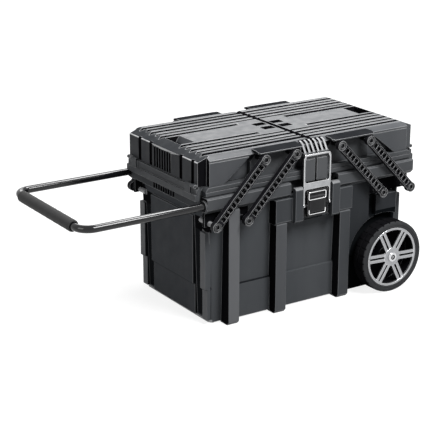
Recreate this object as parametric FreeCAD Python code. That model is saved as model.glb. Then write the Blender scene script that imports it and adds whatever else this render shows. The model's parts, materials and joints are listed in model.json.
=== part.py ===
import FreeCAD, Part
import math
import os

os.makedirs("parts", exist_ok=True)

V = FreeCAD.Vector

# Signs and shares
left = -1.0
front = -1.0
half_share = 0.5
overlap = 1.0
reach = 400.0

# Fits
running_clearance = 0.05
loop_clearance = 0.30
slide_clearance = 0.30
moving_gap = 0.30

# Tub shell
tub_half_length = 287.0
tub_half_width = 155.0
tub_base_height = 3.0
tub_rim_height = 288.0
tub_wall = 3.2
tub_taper = 9.0
tub_corner_radius = 12.0

# Wheels and axle
wheel_radius = 92.0
wheel_width = 45.0
wheel_setback = 66.0
wheel_wall_gap = 15.0
arch_clearance = 13.0
tyre_height = 16.2
tyre_shoulder = 7.0
tyre_face_inset = 3.0
tread_groove_width = 5.0
tread_groove_depth = 2.5
core_wall = 5.0
core_recess = 7.0
core_web_setback = 7.0
core_web_thickness = 4.0
hub_radius = 15.0
hub_reach = 12.5
trim_thickness = 6.0
trim_ring_width = 5.8
trim_disc_radius = 24.0
spoke_pairs = 6
spoke_width = 7.5
spoke_slot = 5.0
spoke_start_angle = 3.0
axle_radius = 6.0
axle_setback = 3.0
cap_radius = 12.5
cap_height = 4.0
cap_edge = 1.5
cap_pocket_gap = 0.5
wheel_x = tub_half_length - wheel_setback
wheel_z = wheel_radius
arch_radius = wheel_radius + arch_clearance
wheel_inner = tub_half_width + wheel_wall_gap
wheel_outer = wheel_inner + wheel_width
rim_radius = wheel_radius - tyre_height
trim_ring_inner = rim_radius - trim_ring_width
core_face = wheel_outer - core_recess
core_web_start = wheel_inner + core_web_setback
core_web_end = core_web_start + core_web_thickness
hub_inner = wheel_inner - hub_reach
axle_end = wheel_outer - axle_setback

# Raised floor over the axle
axle_step_lead = 33.0
axle_step_rise = 26.0
axle_skirt_setback = 13.0
axle_step_start = wheel_x - axle_step_lead
axle_step_height = wheel_radius + axle_step_rise
axle_skirt_inner = tub_half_width - axle_skirt_setback

# Front and rear pilaster ribs
rib_depth = 25.0
rib_wall = 3.5
rib_foot_chamfer = 7.0
rib_top_chamfer = 2.0
inner_rib_width = 31.0
wing_arch_gap = 2.0
wing_rib_margin = 3.5
inner_rib_drop = 60.0
outer_rib_setback = 57.0
outer_rib_width = 30.0
rib_rail_gap = 0.6
rib_apron_gap = 1.0
rib_half_width = tub_half_width + rib_depth
wing_end_x = wheel_x - arch_radius - wing_arch_gap
inner_rib_x = wing_end_x - wing_rib_margin - inner_rib_width * half_share
inner_rib_top = tub_rim_height - inner_rib_drop
outer_rib_x = tub_half_length - outer_rib_setback
outer_rib_top = tub_rim_height - rib_rail_gap

# Lower band on the walls between the ribs
band_height = 90.0
band_setback = 1.5
band_half_width = tub_half_width - band_setback

# End wall pads and corner posts
end_pad_step = 5.0
end_pad_margin = 59.0
end_pad_drop = 26.0
end_pad_base = 12.0
end_post_margin = 5.0
end_post_width = 22.0
end_post_drop = 56.0
end_band_setback = 1.0
corner_boss_length = 30.0
end_pad_length = tub_half_length + end_pad_step
end_pad_half_width = tub_half_width - end_pad_margin
end_pad_top = tub_rim_height - end_pad_drop
end_post_outer = tub_half_width - end_post_margin
end_post_inner = end_post_outer - end_post_width
end_post_top = tub_rim_height - end_post_drop
end_band_length = tub_half_length - end_band_setback
corner_boss_root = tub_half_width - corner_boss_length

# Latch surround on the front wall
latch_half_length = 38.0
surround_depth = 23.0
surround_height = 62.0
wing_step = 4.5
wing_edge = 6.0
post_gap = 5.0
post_width = 23.0
post_depth = 12.5
post_rise = 25.0
post_edge = 5.0
surround_half_width = tub_half_width + surround_depth
surround_base = tub_rim_height - surround_height
post_inner = latch_half_length + post_gap
post_outer = post_inner + post_width
wing_half_width = surround_half_width + wing_step
post_half_width = wing_half_width + post_depth
post_top = tub_rim_height + post_rise
surround_half_length = wing_end_x

# Side rails with the handle guides and lower pivots
rail_post_gap = 4.0
rail_overhang = 18.0
rail_wall_gap = 1.5
rail_width = 25.0
rail_height = 37.0
rail_edge = 3.0
rail_low_edge = 9.0
rail_hook_height = 3.5
rail_hook_setback = 15.0
rail_boss_radius = 6.0
rail_boss_setback = 4.5
rail_mouth_length = 4.0
rail_mouth_wall = 4.5
rail_inner = post_outer + rail_post_gap
rail_end = tub_half_length + rail_overhang
rail_inside = tub_half_width + rail_wall_gap
rail_outside = rail_inside + rail_width
rail_top = tub_rim_height + rail_height
rail_hook_inside = tub_half_width - tub_wall - slide_clearance
rail_hook_top = tub_rim_height + rail_hook_height
rail_hook_end = tub_half_length - rail_hook_setback
rail_boss_end = rail_outside - rail_boss_setback

# Lifting arms
catch_half_length = 36.0
upper_pivot_margin = 31.2
lower_pivot_margin = 17.4
lower_pivot_drop = 29.0
pivot_pitch = 87.2
arm_rise = 139.0
arm_rail_gap = 2.8
arm_thickness = 13.7
arm_width = 21.0
arm_boss_radius = 12.5
arm_ring_outer = 10.4
arm_ring_width = 2.4
arm_ring_depth = 3.0
arm_pocket_count = 12
arm_pocket_width = 13.0
arm_pocket_wall = 2.8
arm_pocket_depth = 10.5
arm_pocket_margin = 15.0
arm_inner_face = rail_outside + arm_rail_gap
arm_outer_face = arm_inner_face + arm_thickness
arm_ring_inner = arm_ring_outer - arm_ring_width
upper_inner_x = catch_half_length + upper_pivot_margin
upper_outer_x = upper_inner_x + pivot_pitch
lower_outer_x = rail_end - lower_pivot_margin
lower_inner_x = lower_outer_x - pivot_pitch
lower_pivot_z = tub_rim_height - lower_pivot_drop
upper_pivot_z = lower_pivot_z + arm_rise
arm_run = lower_inner_x - upper_inner_x
arm_length = math.hypot(arm_run, arm_rise)

# Rail aprons under the lower pivots
apron_lead = 20.4
apron_tail = 3.0
apron_wall_gap = 0.2
apron_thickness = 7.8
apron_drop = 6.5
apron_start = lower_inner_x - apron_lead
apron_end = rail_end - apron_tail
apron_inside = tub_half_width + apron_wall_gap
apron_outside = apron_inside + apron_thickness
apron_base = lower_pivot_z - apron_drop

# Wheel arch blocks
fender_tail = 41.0
fender_depth = 17.0
fender_apron_gap = 6.5
fender_groove_lead = 4.0
fender_groove_width = 20.0
fender_groove_depth = 14.0
fender_groove_height = 92.0
fender_end = wheel_x + fender_tail
fender_half_width = tub_half_width + fender_depth
fender_low_top = apron_base - fender_apron_gap
fender_groove_start = apron_start - fender_groove_lead
fender_groove_end = fender_groove_start + fender_groove_width
fender_groove_base = tub_rim_height - fender_groove_height

# Pull handle
handle_rail_setback = 11.9
handle_rise = 17.0
handle_reach = 314.0
handle_tail_length = 55.0
handle_tube_radius = 9.0
handle_tube_wall = 1.6
handle_bend_radius = 34.0
grip_bend_gap = 6.4
grip_wall = 5.0
grip_edge = 3.0
plug_length = 14.0
plug_head = 4.0
handle_y = rail_inside + handle_rail_setback
handle_z = tub_rim_height + handle_rise
handle_grip_x = rail_end + handle_reach
handle_tail_x = rail_end - handle_tail_length
grip_half_length = handle_y - handle_bend_radius - grip_bend_gap
grip_radius = handle_tube_radius + grip_wall

# Pivot pins
pin_journal_radius = 5.0
pin_collar_radius = 6.8
pin_tail_radius = 4.0
lower_tail_length = 14.0
pin_head_depth = 4.0
pin_edge = 1.0
pin_collar_end = arm_inner_face - moving_gap
pin_journal_end = arm_outer_face - pin_head_depth

# Trays
split_gap = 2.5
tray_split_setback = 1.5
tray_overhang = 25.0
tray_side_setback = 3.0
tray_rise = 6.0
tray_height = 54.0
tray_wall = 3.2
tray_end_wall = 5.5
flange_rail_gap = 2.5
flange_reach = 20.0
flange_setback = 9.0
flange_corner = 9.0
flange_line_drop = 11.0
flange_line_depth = 2.0
flange_line_height = 2.0
ledge_upper_step = 6.5
ledge_lower_step = 4.5
ledge_side_step = 5.0
ledge_bead_drop = 32.0
ledge_bead_height = 15.0
ear_lead = 19.2
ear_tail = 19.6
ear_thickness = 8.0
ear_rise = 7.0
ear_corner = 16.0
tray_louvre_count = 9
tray_louvre_pitch = 11.0
tray_louvre_width = 6.5
tray_louvre_depth = 3.0
tray_louvre_rise = 1.5
tray_louvre_height = 20.0
divider_thickness = 2.5
divider_drop = 10.0
divider_gap = 0.3
tray_inner_x = split_gap + tray_split_setback
tray_end_x = tub_half_length + tray_overhang
tray_half_width = tub_half_width - tray_side_setback
tray_base_z = tub_rim_height + tray_rise
tray_top_z = tray_base_z + tray_height
flange_base_z = rail_top + flange_rail_gap
flange_half_width = tray_half_width + flange_reach
flange_end_x = tray_end_x - flange_setback
flange_line_z = tray_top_z - flange_line_drop
ledge_upper_x = tray_end_x + ledge_upper_step
ledge_end_x = ledge_upper_x + ledge_lower_step
ledge_half_width = tray_half_width + ledge_side_step
ledge_bead_base = tray_top_z - ledge_bead_drop
ledge_bead_top = ledge_bead_base + ledge_bead_height
ear_start = upper_inner_x - ear_lead
ear_end = upper_outer_x + ear_tail
ear_inside = tray_half_width
ear_outside = ear_inside + ear_thickness
ear_top = upper_pivot_z + ear_rise
upper_tail_length = ear_outside - ear_inside
tray_louvre_base = tray_base_z + tray_louvre_rise
tray_louvre_top = tray_louvre_base + tray_louvre_height
divider_top = tray_top_z - divider_drop
divider_x = (tray_inner_x + tray_end_x) * half_share

# Lids
lid_overhang = 3.0
lid_cover = 20.0
lid_end_edge_drop = 11.5
lid_end_slope = 30.0
lid_side_edge_drop = 8.5
lid_side_slope = 13.0
lid_flange_setback = 4.0
lid_ledge_setback = 2.0
lid_notch_length = 24.0
lid_wall = 3.5
lid_end_wall = 6.5
lid_roof = 7.0
lid_bay_rise = 5.0
lid_bay_wall = 5.0
recess_depth = 20.0
recess_drop = 10.0
recess_lead = 21.6
recess_run_share = 0.57
hood_lead = 4.0
hood_tail = 4.0
hood_setback = 6.0
hood_root_setback = 2.0
hood_boss_gap = 1.0
hood_front_height = 3.0
hood_slope = 14.0
hood_end_slope = 5.0
main_groove_shares = [0.274, 0.5415, 0.8095]
main_groove_width = 13.0
main_groove_depth = 5.0
fine_groove_shares = [0.4075, 0.6755]
fine_groove_width = 9.0
fine_groove_depth = 3.4
border_groove_start = 72.0
side_line_drop = 3.0
side_line_width = 2.5
side_line_depth = 2.0
well_setback = 29.0
well_length = 40.0
well_nose = 10.0
well_half_width = 34.0
well_depth = 15.0
well_roof = 3.5
pocket_start = 9.0
pocket_length = 33.0
pocket_near = 7.0
pocket_width = 24.0
pocket_depth = 13.0
split_chamfer = 4.0
end_groove_shares = [0.44, 0.77]
end_groove_width = 11.0
end_groove_shift = 15.0
end_groove_depth = 4.4
end_groove_rise = 3.7
louvre_count = 7
louvre_pitch = 11.5
louvre_width = 6.0
louvre_drop = 17.0
louvre_rise = 4.7
lid_half_length = tray_end_x + lid_overhang
lid_base_z = tray_top_z + moving_gap
lid_crest_z = upper_pivot_z + lid_cover
lid_end_edge_z = lid_crest_z - lid_end_edge_drop
lid_side_edge_z = lid_crest_z - lid_side_edge_drop
lid_half_width = flange_half_width - lid_flange_setback
lid_end_half_width = ledge_half_width - lid_ledge_setback
lid_notch_start = lid_half_length - lid_notch_length
lid_bay_top = upper_pivot_z + lid_bay_rise
recess_half_width = lid_half_width - recess_depth
recess_top_z = lid_crest_z - recess_drop
recess_high_x = upper_outer_x + recess_lead
recess_low_x = recess_high_x + arm_run * recess_run_share
hood_start = ear_start - hood_lead
hood_end = ear_end - hood_tail
hood_half_width = arm_outer_face - hood_setback
hood_root = tray_half_width - hood_root_setback
hood_base_z = upper_pivot_z + arm_boss_radius + hood_boss_gap
main_groove_ys = [share * lid_half_width for share in main_groove_shares]
fine_groove_ys = [share * lid_half_width for share in fine_groove_shares]
well_end = lid_half_length - well_setback
well_start = well_end - well_length
pocket_end = pocket_start + pocket_length
pocket_far = pocket_near + pocket_width
end_groove_ys = [share * lid_end_half_width for share in end_groove_shares]
end_groove_base = lid_base_z + end_groove_rise
louvre_top = lid_crest_z - louvre_drop
louvre_base = lid_base_z + louvre_rise

# Lid hinges
hinge_overhang = 5.0
hinge_rise = 1.7
hinge_pin_radius = 2.2
lug_margin = 2.0
lug_width = 16.0
lug_radius = 4.4
lug_root_reach = 8.0
knuckle_gap = 1.0
knuckle_width = 24.0
hinge_relief_radius = 7.5
hinge_side_gap = 0.6
hinge_x = lid_half_length + hinge_overhang
hinge_z = lid_base_z + hinge_rise
lug_far = lid_end_half_width - lug_margin
lug_near = lug_far - lug_width
lug_root = hinge_x - lug_root_reach
knuckle_far = lug_near - knuckle_gap
knuckle_near = knuckle_far - knuckle_width

# Latch catches on the lids
catch_lid_gap = 10.5
catch_thickness = 4.5
catch_hang = 27.3
catch_rise = 35.7
catch_web_drop = 32.0
catch_groove_drop = 9.0
catch_groove_depth = 1.5
catch_groove_height = 2.0
fin_count = 3
fin_start = 6.5
fin_pitch = 12.5
fin_width = 5.5
fin_low_drop = 26.0
fin_top_drop = 4.0
fin_reach = 10.0
fin_lid_gap = 0.2
catch_back = lid_half_width + catch_lid_gap
catch_face = catch_back + catch_thickness
catch_base_z = lid_base_z - catch_hang
catch_top_z = lid_base_z + catch_rise
catch_web_base = lid_crest_z - catch_web_drop
catch_groove_z = catch_top_z - catch_groove_drop
fin_xs = [fin_start + fin_pitch * index for index in range(fin_count)]
fin_low_z = lid_crest_z - fin_low_drop
fin_top_z = lid_crest_z - fin_top_drop
fin_root_y = lid_half_width - fin_reach
fin_foot_z = lid_side_edge_z + fin_lid_gap
fin_root_z = fin_foot_z + lid_side_edge_drop * fin_reach / lid_side_slope

# Toggle latch base and lever
latch_base_thickness = 2.5
latch_base_drop = 54.0
latch_base_rise = 22.0
lever_catch_gap = 3.2
lever_pivot_rise = 8.0
lever_pin_radius = 2.5
lever_pin_reach = 1.4
lever_half_length = 28.0
lever_knuckle_radius = 4.5
lever_plate_offset = 1.0
lever_plate_thickness = 2.2
lever_length = 56.0
lever_rail_width = 5.0
lever_rail_depth = 2.6
lever_lip_length = 4.0
lever_lip_depth = 3.0
latch_ear_gap = 0.6
latch_ear_thickness = 3.0
latch_ear_radius = 6.5
pad_side_margin = 6.0
pad_step = 1.0
pad_low_margin = 3.5
pad_high_margin = 10.0
pad_edge = 2.0
latch_base_low = tub_rim_height - latch_base_drop
latch_base_high = tub_rim_height + latch_base_rise
lever_pivot_y = catch_face + lever_catch_gap
lever_pivot_z = tub_rim_height + lever_pivot_rise
lever_plate_back = lever_pivot_y - lever_plate_offset
lever_plate_face = lever_plate_back + lever_plate_thickness
lever_low_z = lever_pivot_z - lever_length
lever_rail_face = lever_plate_face + lever_rail_depth
lever_lip_z = lever_low_z - lever_lip_length
lever_lip_face = lever_rail_face + lever_lip_depth
latch_ear_inner = lever_half_length + latch_ear_gap
latch_ear_outer = latch_ear_inner + latch_ear_thickness
lever_pin_end = latch_ear_outer + lever_pin_reach
pad_half_length = lever_half_length - pad_side_margin
pad_face = lever_rail_face + pad_step
pad_low_z = lever_low_z + pad_low_margin
pad_high_z = lever_pivot_z - pad_high_margin

# Latch bail
bail_pivot_offset = 1.2
bail_pivot_drop = 32.0
bail_pin_radius = 2.4
bail_pin_reach = 1.5
bail_leg_width = 4.0
bail_depth = 5.0
bail_eye_radius = 4.8
bail_bar_rise = 1.0
bail_bar_height = 4.5
bail_plate_rise = 7.5
bail_plate_height = 16.5
bail_plate_thickness = 2.3
bail_edge = 1.5
bail_shoulder_height = 9.0
bail_shoulder_step = 4.0
bail_corner = 4.0
bail_leg_inner = catch_half_length
bail_leg_outer = bail_leg_inner + bail_leg_width
bail_pin_end = bail_leg_outer + bail_pin_reach
bail_pivot_y = lever_pivot_y + bail_pivot_offset
bail_pivot_z = lever_pivot_z - bail_pivot_drop
bail_back = bail_pivot_y - bail_depth * half_share
bail_face = bail_back + bail_depth
bail_bar_low = catch_top_z + bail_bar_rise
bail_top_z = bail_bar_low + bail_bar_height
bail_plate_low = lever_pivot_z + bail_plate_rise
bail_plate_high = bail_plate_low + bail_plate_height
bail_plate_back = bail_face - bail_plate_thickness


def block(x0, x1, y0, y1, z0, z1):
    """A box between two corners given in any order."""
    corner = V(min(x0, x1), min(y0, y1), min(z0, z1))
    return Part.makeBox(abs(x1 - x0), abs(y1 - y0), abs(z1 - z0), corner)


def prism_y(points, y0, y1):
    """An x-z outline drawn out along y."""
    corners = [V(x, y0, z) for x, z in points]
    wire = Part.makePolygon(corners + corners[:1])
    return Part.Face(wire).extrude(V(0, y1 - y0, 0))


def prism_x(points, x0, x1):
    """A y-z outline drawn out along x."""
    corners = [V(x0, y, z) for y, z in points]
    wire = Part.makePolygon(corners + corners[:1])
    return Part.Face(wire).extrude(V(x1 - x0, 0, 0))


def rod_y(x, z, radius, y0, y1):
    """A cylinder along y."""
    return Part.makeCylinder(radius, abs(y1 - y0), V(x, min(y0, y1), z), V(0, 1, 0))


def rod_x(y, z, radius, x0, x1):
    """A cylinder along x."""
    return Part.makeCylinder(radius, abs(x1 - x0), V(min(x0, x1), y, z), V(1, 0, 0))


def to_left(shape):
    """The mirror image on the handle side."""
    return shape.mirror(V(0, 0, 0), V(1, 0, 0))


def to_front(shape):
    """The mirror image on the latch side."""
    return shape.mirror(V(0, 0, 0), V(0, 1, 0))


def both_sides(shapes):
    """The given rear pieces with their front images."""
    return shapes + [to_front(shape) for shape in shapes]


def join(first, others):
    """One solid made of touching solids."""
    return first.fuse(others).removeSplitter()


def ring_wire(half_x, half_y, radius, z):
    """A rectangle with round corners at one height."""
    inner_x = half_x - radius
    inner_y = half_y - radius
    bow = radius * math.sin(math.pi / 4)
    edges = []
    for turn_x, turn_y in [(1, 1), (-1, 1), (-1, -1), (1, -1)]:
        side = V(turn_x * half_x, turn_y * inner_y, z)
        cap = V(turn_x * inner_x, turn_y * half_y, z)
        middle = V(turn_x * (inner_x + bow), turn_y * (inner_y + bow), z)
        if turn_x * turn_y > 0:
            edges.append((side, middle, cap))
        else:
            edges.append((cap, middle, side))
    parts = []
    for index, (start, middle, end) in enumerate(edges):
        following = edges[(index + 1) % len(edges)][0]
        parts.append(Part.Arc(start, middle, end).toShape())
        parts.append(Part.LineSegment(end, following).toShape())
    return Part.Wire(parts)


def tapered(half_x, half_y, radius, z0, z1):
    """A tub-shaped solid that narrows towards the ground."""
    low = ring_wire(half_x - tub_taper, half_y - tub_taper, radius, z0)
    high = ring_wire(half_x, half_y, radius, z1)
    return Part.makeLoft([low, high], True, True)


def pilaster(x, width, top):
    """One rear rib with its foot."""
    half = width * half_share
    root = tub_half_width - tub_taper - tub_wall
    outline = [
        (root, 0.0),
        (rib_half_width - rib_foot_chamfer, 0.0),
        (rib_half_width, rib_foot_chamfer),
        (rib_half_width, top - rib_top_chamfer),
        (rib_half_width - rib_top_chamfer, top),
        (root, top),
    ]
    return prism_x(outline, x - half, x + half)


def pilaster_hollow(x, width, top):
    """The space inside one rear rib, open to the tub."""
    half = width * half_share - rib_wall
    root = tub_half_width - tub_taper - tub_wall - overlap
    low = tub_base_height + tub_wall
    deep = rib_half_width - rib_wall
    outline = [
        (root, low),
        (deep - rib_foot_chamfer, low),
        (deep, low + rib_foot_chamfer),
        (deep, top - rib_top_chamfer - rib_wall),
        (deep - rib_top_chamfer, top - rib_wall),
        (root, top - rib_wall),
    ]
    return prism_x(outline, x - half, x + half)


def fender():
    """The rear wheel arch block, cut to the wheel."""
    start = inner_rib_x
    root = tub_half_width - tub_taper - tub_wall
    tall = block(start, fender_groove_start, root, fender_half_width, wheel_z, tub_rim_height)
    low = block(start, fender_end, root, fender_half_width, wheel_z, fender_low_top)
    groove_root = fender_half_width - fender_groove_depth
    groove = block(
        fender_groove_start,
        fender_groove_end,
        groove_root,
        fender_half_width + overlap,
        fender_groove_base,
        tub_rim_height + overlap,
    )
    arch = rod_y(wheel_x, wheel_z, arch_radius, tub_half_width, fender_half_width + overlap)
    return join(tall, [low]).cut([groove, arch])


def fender_hollow():
    """The space inside the rear wheel arch block."""
    start = inner_rib_x + inner_rib_width * half_share
    root = tub_half_width - tub_taper - tub_wall - overlap
    deep = fender_half_width - fender_groove_depth - rib_wall
    tall_end = fender_groove_start - rib_wall
    tall = block(start, tall_end, root, deep, wheel_z, tub_rim_height - rib_wall)
    low = block(start, fender_end - rib_wall, root, deep, wheel_z, fender_low_top - rib_wall)
    arch = rod_y(wheel_x, wheel_z, arch_radius + rib_wall, root - overlap, deep + overlap)
    return join(tall, [low]).cut(arch)


def latch_surround():
    """The raised frame on the front wall that carries the latch."""
    root = tub_half_width - tub_taper - tub_wall
    face = wing_half_width
    middle = block(-post_outer, post_outer, root, surround_half_width, surround_base, tub_rim_height)
    wing = [
        (root, surround_base),
        (face - wing_edge, surround_base),
        (face, surround_base + wing_edge),
        (face, tub_rim_height),
        (root, tub_rim_height),
    ]
    wings = [prism_x(wing, post_inner, surround_half_length)]
    wings.append(prism_x(wing, -surround_half_length, -post_inner))
    post = [
        (face - overlap, surround_base),
        (post_half_width - post_edge, surround_base),
        (post_half_width, surround_base + post_edge),
        (post_half_width, post_top - post_edge),
        (post_half_width - post_edge, post_top),
        (face, post_top),
        (face, tub_rim_height),
        (face - overlap, tub_rim_height),
    ]
    posts = [prism_x(post, post_inner, post_outer)]
    posts.append(prism_x(post, -post_outer, -post_inner))
    return to_front(join(middle, wings + posts))


def end_pads():
    """Raised panel and corner posts on the wheel-end wall."""
    root = tub_half_length - tub_taper - overlap
    low = end_pad_base
    pieces = [block(root, end_pad_length, -end_pad_half_width, end_pad_half_width, band_height, end_pad_top)]
    pieces.append(block(root, end_band_length, -end_pad_half_width, end_pad_half_width, low, band_height))
    corner = block(root, end_pad_length, end_post_inner, end_post_outer, band_height, end_post_top)
    corner_low = block(root, end_band_length, end_post_inner, end_post_outer, low, band_height)
    return pieces + both_sides([corner, corner_low])


def corner_boss():
    """The round boss on the wheel-end wall behind the rear outer pivot."""
    return rod_y(lower_outer_x, lower_pivot_z, rail_boss_radius, corner_boss_root, tub_half_width)


def wall_bands():
    """Lower bands on the rear wall between the ribs."""
    root = tub_half_width - tub_taper - tub_wall
    reach_x = outer_rib_x
    low = tub_base_height + overlap
    return [block(-reach_x, axle_step_start, root, band_half_width, low, band_height)]


def rib_places():
    """Place, width and top of each rear rib."""
    return [
        (left * outer_rib_x, outer_rib_width, outer_rib_top),
        (left * inner_rib_x, inner_rib_width, inner_rib_top),
        (inner_rib_x, inner_rib_width, inner_rib_top),
    ]


def make_tub():
    """The deep tub with ribs, feet, wheel arches and latch frame."""
    outer = tapered(tub_half_length, tub_half_width, tub_corner_radius, tub_base_height, tub_rim_height)
    ribs = [pilaster(x, width, top) for x, width, top in rib_places()]
    pads = end_pads()
    wheel_pads = [pad.cut(block(0, reach, -reach, reach, 0, axle_step_height)) for pad in pads]
    bosses = [corner_boss(), to_left(corner_boss())]
    added = both_sides(ribs + wall_bands() + bosses + [fender()])
    added += wheel_pads + [to_left(pad) for pad in pads] + [latch_surround()]
    body = outer.fuse(added)
    inside_length = tub_half_length - tub_wall
    inside_width = tub_half_width - tub_wall
    floor = tub_base_height + tub_wall
    inside = tapered(inside_length, inside_width, tub_corner_radius - tub_wall, floor, tub_rim_height)
    raised = axle_step_height + tub_wall
    inside = inside.cut(block(axle_step_start - tub_wall, reach, -reach, reach, 0, raised))
    hollows = [pilaster_hollow(x, width, top) for x, width, top in rib_places()] + [fender_hollow()]
    body = body.cut([inside] + both_sides(hollows))
    step = block(axle_step_start, reach, -axle_skirt_inner, axle_skirt_inner, -overlap, axle_step_height)
    bore = rod_y(wheel_x, wheel_z, axle_radius, -reach, reach)
    return body.cut([step, bore]).removeSplitter()


def make_rail(guided):
    """A rear rail on the wheel half, with two pivot bosses."""
    edge = rail_edge
    section = [
        (rail_inside, tub_rim_height),
        (rail_outside - rail_low_edge, tub_rim_height),
        (rail_outside, tub_rim_height + rail_low_edge),
        (rail_outside, rail_top - edge),
        (rail_outside - edge, rail_top),
        (rail_inside, rail_top),
    ]
    body = prism_x(section, rail_inner, rail_end)
    hook = block(rail_inner, rail_hook_end, rail_hook_inside, rail_inside + overlap, tub_rim_height, rail_hook_top)
    apron = block(apron_start, apron_end, apron_inside, apron_outside, apron_base, tub_rim_height)
    if guided:
        half = outer_rib_width * half_share + rib_apron_gap
        apron = apron.cut(block(outer_rib_x - half, outer_rib_x + half, 0, reach, 0, tub_rim_height))
    bosses = []
    for x in [lower_inner_x, lower_outer_x]:
        bosses.append(rod_y(x, lower_pivot_z, rail_boss_radius, apron_inside, rail_boss_end))
    pieces = [hook, apron] + bosses
    if guided:
        mouth_radius = handle_tube_radius + rail_mouth_wall
        pieces.append(rod_x(handle_y, handle_z, mouth_radius, rail_end - overlap, rail_end + rail_mouth_length))
    body = body.fuse(pieces)
    holes = []
    for x in [lower_inner_x, lower_outer_x]:
        start = rail_boss_end - lower_tail_length
        holes.append(rod_y(x, lower_pivot_z, pin_tail_radius, start, rail_boss_end + overlap))
    bore_radius = handle_tube_radius + slide_clearance
    holes.append(rod_x(handle_y, handle_z, bore_radius, rail_inner - overlap, reach))
    return body.cut(holes).removeSplitter()


def make_pin(x, z, root, tail_length):
    """A rear shoulder pin set in a boss, carrying one arm."""
    tail = rod_y(x, z, pin_tail_radius, root - tail_length, root + overlap)
    collar = rod_y(x, z, pin_collar_radius, root, pin_collar_end)
    journal_straight = pin_journal_end - pin_edge
    journal = rod_y(x, z, pin_journal_radius, pin_collar_end - overlap, journal_straight)
    tip = Part.makeCone(
        pin_journal_radius,
        pin_journal_radius - pin_edge,
        pin_edge,
        V(x, journal_straight, z),
        V(0, 1, 0),
    )
    return join(tail, [collar, journal, tip])


def make_arm(upper_x, bore_clearance):
    """A rear ladder arm on the wheel half."""
    face_depth = arm_outer_face - arm_inner_face
    half = arm_width * half_share
    bar = Part.makeBox(arm_length, face_depth, arm_width, V(0, arm_inner_face, -half))
    bosses = []
    cuts = []
    for x, bore in [(0.0, pin_journal_radius + bore_clearance), (arm_length, pin_journal_radius + running_clearance)]:
        bosses.append(rod_y(x, 0, arm_boss_radius, arm_inner_face, arm_outer_face))
        cuts.append(rod_y(x, 0, bore, arm_inner_face - overlap, arm_outer_face + overlap))
        ring_start = arm_outer_face - arm_ring_depth
        ring = rod_y(x, 0, arm_ring_outer, ring_start, arm_outer_face + overlap)
        cuts.append(ring.cut(rod_y(x, 0, arm_ring_inner, ring_start - overlap, reach)))
    span = arm_length - arm_pocket_margin - arm_pocket_margin
    pitch = span / arm_pocket_count
    pocket_half = arm_pocket_width * half_share
    start = arm_outer_face - arm_pocket_depth
    for index in range(arm_pocket_count):
        x0 = arm_pocket_margin + pitch * index
        x1 = x0 + pitch - arm_pocket_wall
        cuts.append(block(x0, x1, start, arm_outer_face + overlap, -pocket_half, pocket_half))
    arm = bar.fuse(bosses).cut(cuts).removeSplitter()
    slope = math.degrees(math.atan2(arm_rise, arm_run))
    arm.rotate(V(0, 0, 0), V(0, 1, 0), slope)
    arm.translate(V(upper_x, 0, upper_pivot_z))
    return arm


def slot_rows(count, pitch, width, x0, x1, z0, z1):
    """A row of upright slots across an end face."""
    slots = []
    first = -pitch * (count - 1) * half_share
    for index in range(count):
        y = first + pitch * index
        slots.append(block(x0, x1, y - width * half_share, y + width * half_share, z0, z1))
    return slots


def tray_flange():
    """The band round the tray just below the lid."""
    corner = flange_corner
    outline = [
        (tray_inner_x, flange_base_z),
        (flange_end_x, flange_base_z),
        (flange_end_x, tray_top_z - corner),
        (flange_end_x - corner * half_share, tray_top_z - corner * half_share * half_share),
        (flange_end_x - corner, tray_top_z),
        (tray_inner_x, tray_top_z),
    ]
    band = prism_y(outline, -flange_half_width, flange_half_width)
    line_root = flange_half_width - flange_line_depth
    line = block(0, reach, line_root, reach, flange_line_z, flange_line_z + flange_line_height)
    return band.cut(both_sides([line]))


def tray_ear():
    """The rear upright plate that carries the upper pivots."""
    corner = ear_corner
    outline = [
        (ear_start, tray_top_z - overlap),
        (ear_end, tray_top_z - overlap),
        (ear_end, ear_top - corner),
        (ear_end - corner, ear_top),
        (ear_start + corner, ear_top),
        (ear_start, ear_top - corner),
    ]
    return prism_y(outline, ear_inside, ear_outside)


def make_tray():
    """The cantilever tray of the wheel half."""
    body = block(tray_inner_x, tray_end_x, -tray_half_width, tray_half_width, tray_base_z, tray_top_z)
    upper = block(tray_end_x - overlap, ledge_upper_x, -ledge_half_width, ledge_half_width, ledge_bead_top, tray_top_z)
    bead = block(tray_end_x - overlap, ledge_end_x, -ledge_half_width, ledge_half_width, ledge_bead_base, ledge_bead_top)
    knuckle = rod_y(hinge_x, hinge_z, lug_radius, knuckle_near, knuckle_far)
    knuckle_back = hinge_x - lug_radius
    knuckle_face = hinge_x + lug_radius
    foot_low = ledge_bead_top - overlap
    foot = block(knuckle_back, knuckle_face, knuckle_near, knuckle_far, foot_low, hinge_z)
    pieces = [tray_flange(), upper, bead] + both_sides([tray_ear(), knuckle, foot])
    body = body.fuse(pieces)
    inside_y = tray_half_width - tray_wall
    floor = tray_base_z + tray_wall
    cuts = [block(tray_inner_x + tray_wall, tray_end_x - tray_end_wall, -inside_y, inside_y, floor, reach + reach)]
    near = lug_near - hinge_side_gap
    relief = rod_y(hinge_x, hinge_z, hinge_relief_radius, near, ledge_half_width + overlap)
    cuts += both_sides([relief])
    cuts.append(rod_y(hinge_x, hinge_z, hinge_pin_radius, -reach, reach))
    span = tray_end_x - tray_louvre_depth
    cuts += slot_rows(
        tray_louvre_count,
        tray_louvre_pitch,
        tray_louvre_width,
        span,
        tray_end_x + overlap,
        tray_louvre_base,
        tray_louvre_top,
    )
    tail_start = ear_inside - overlap
    for x in [upper_inner_x, upper_outer_x]:
        cuts += both_sides([rod_y(x, upper_pivot_z, pin_tail_radius, tail_start, reach)])
    return body.cut(cuts).removeSplitter()


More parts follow.
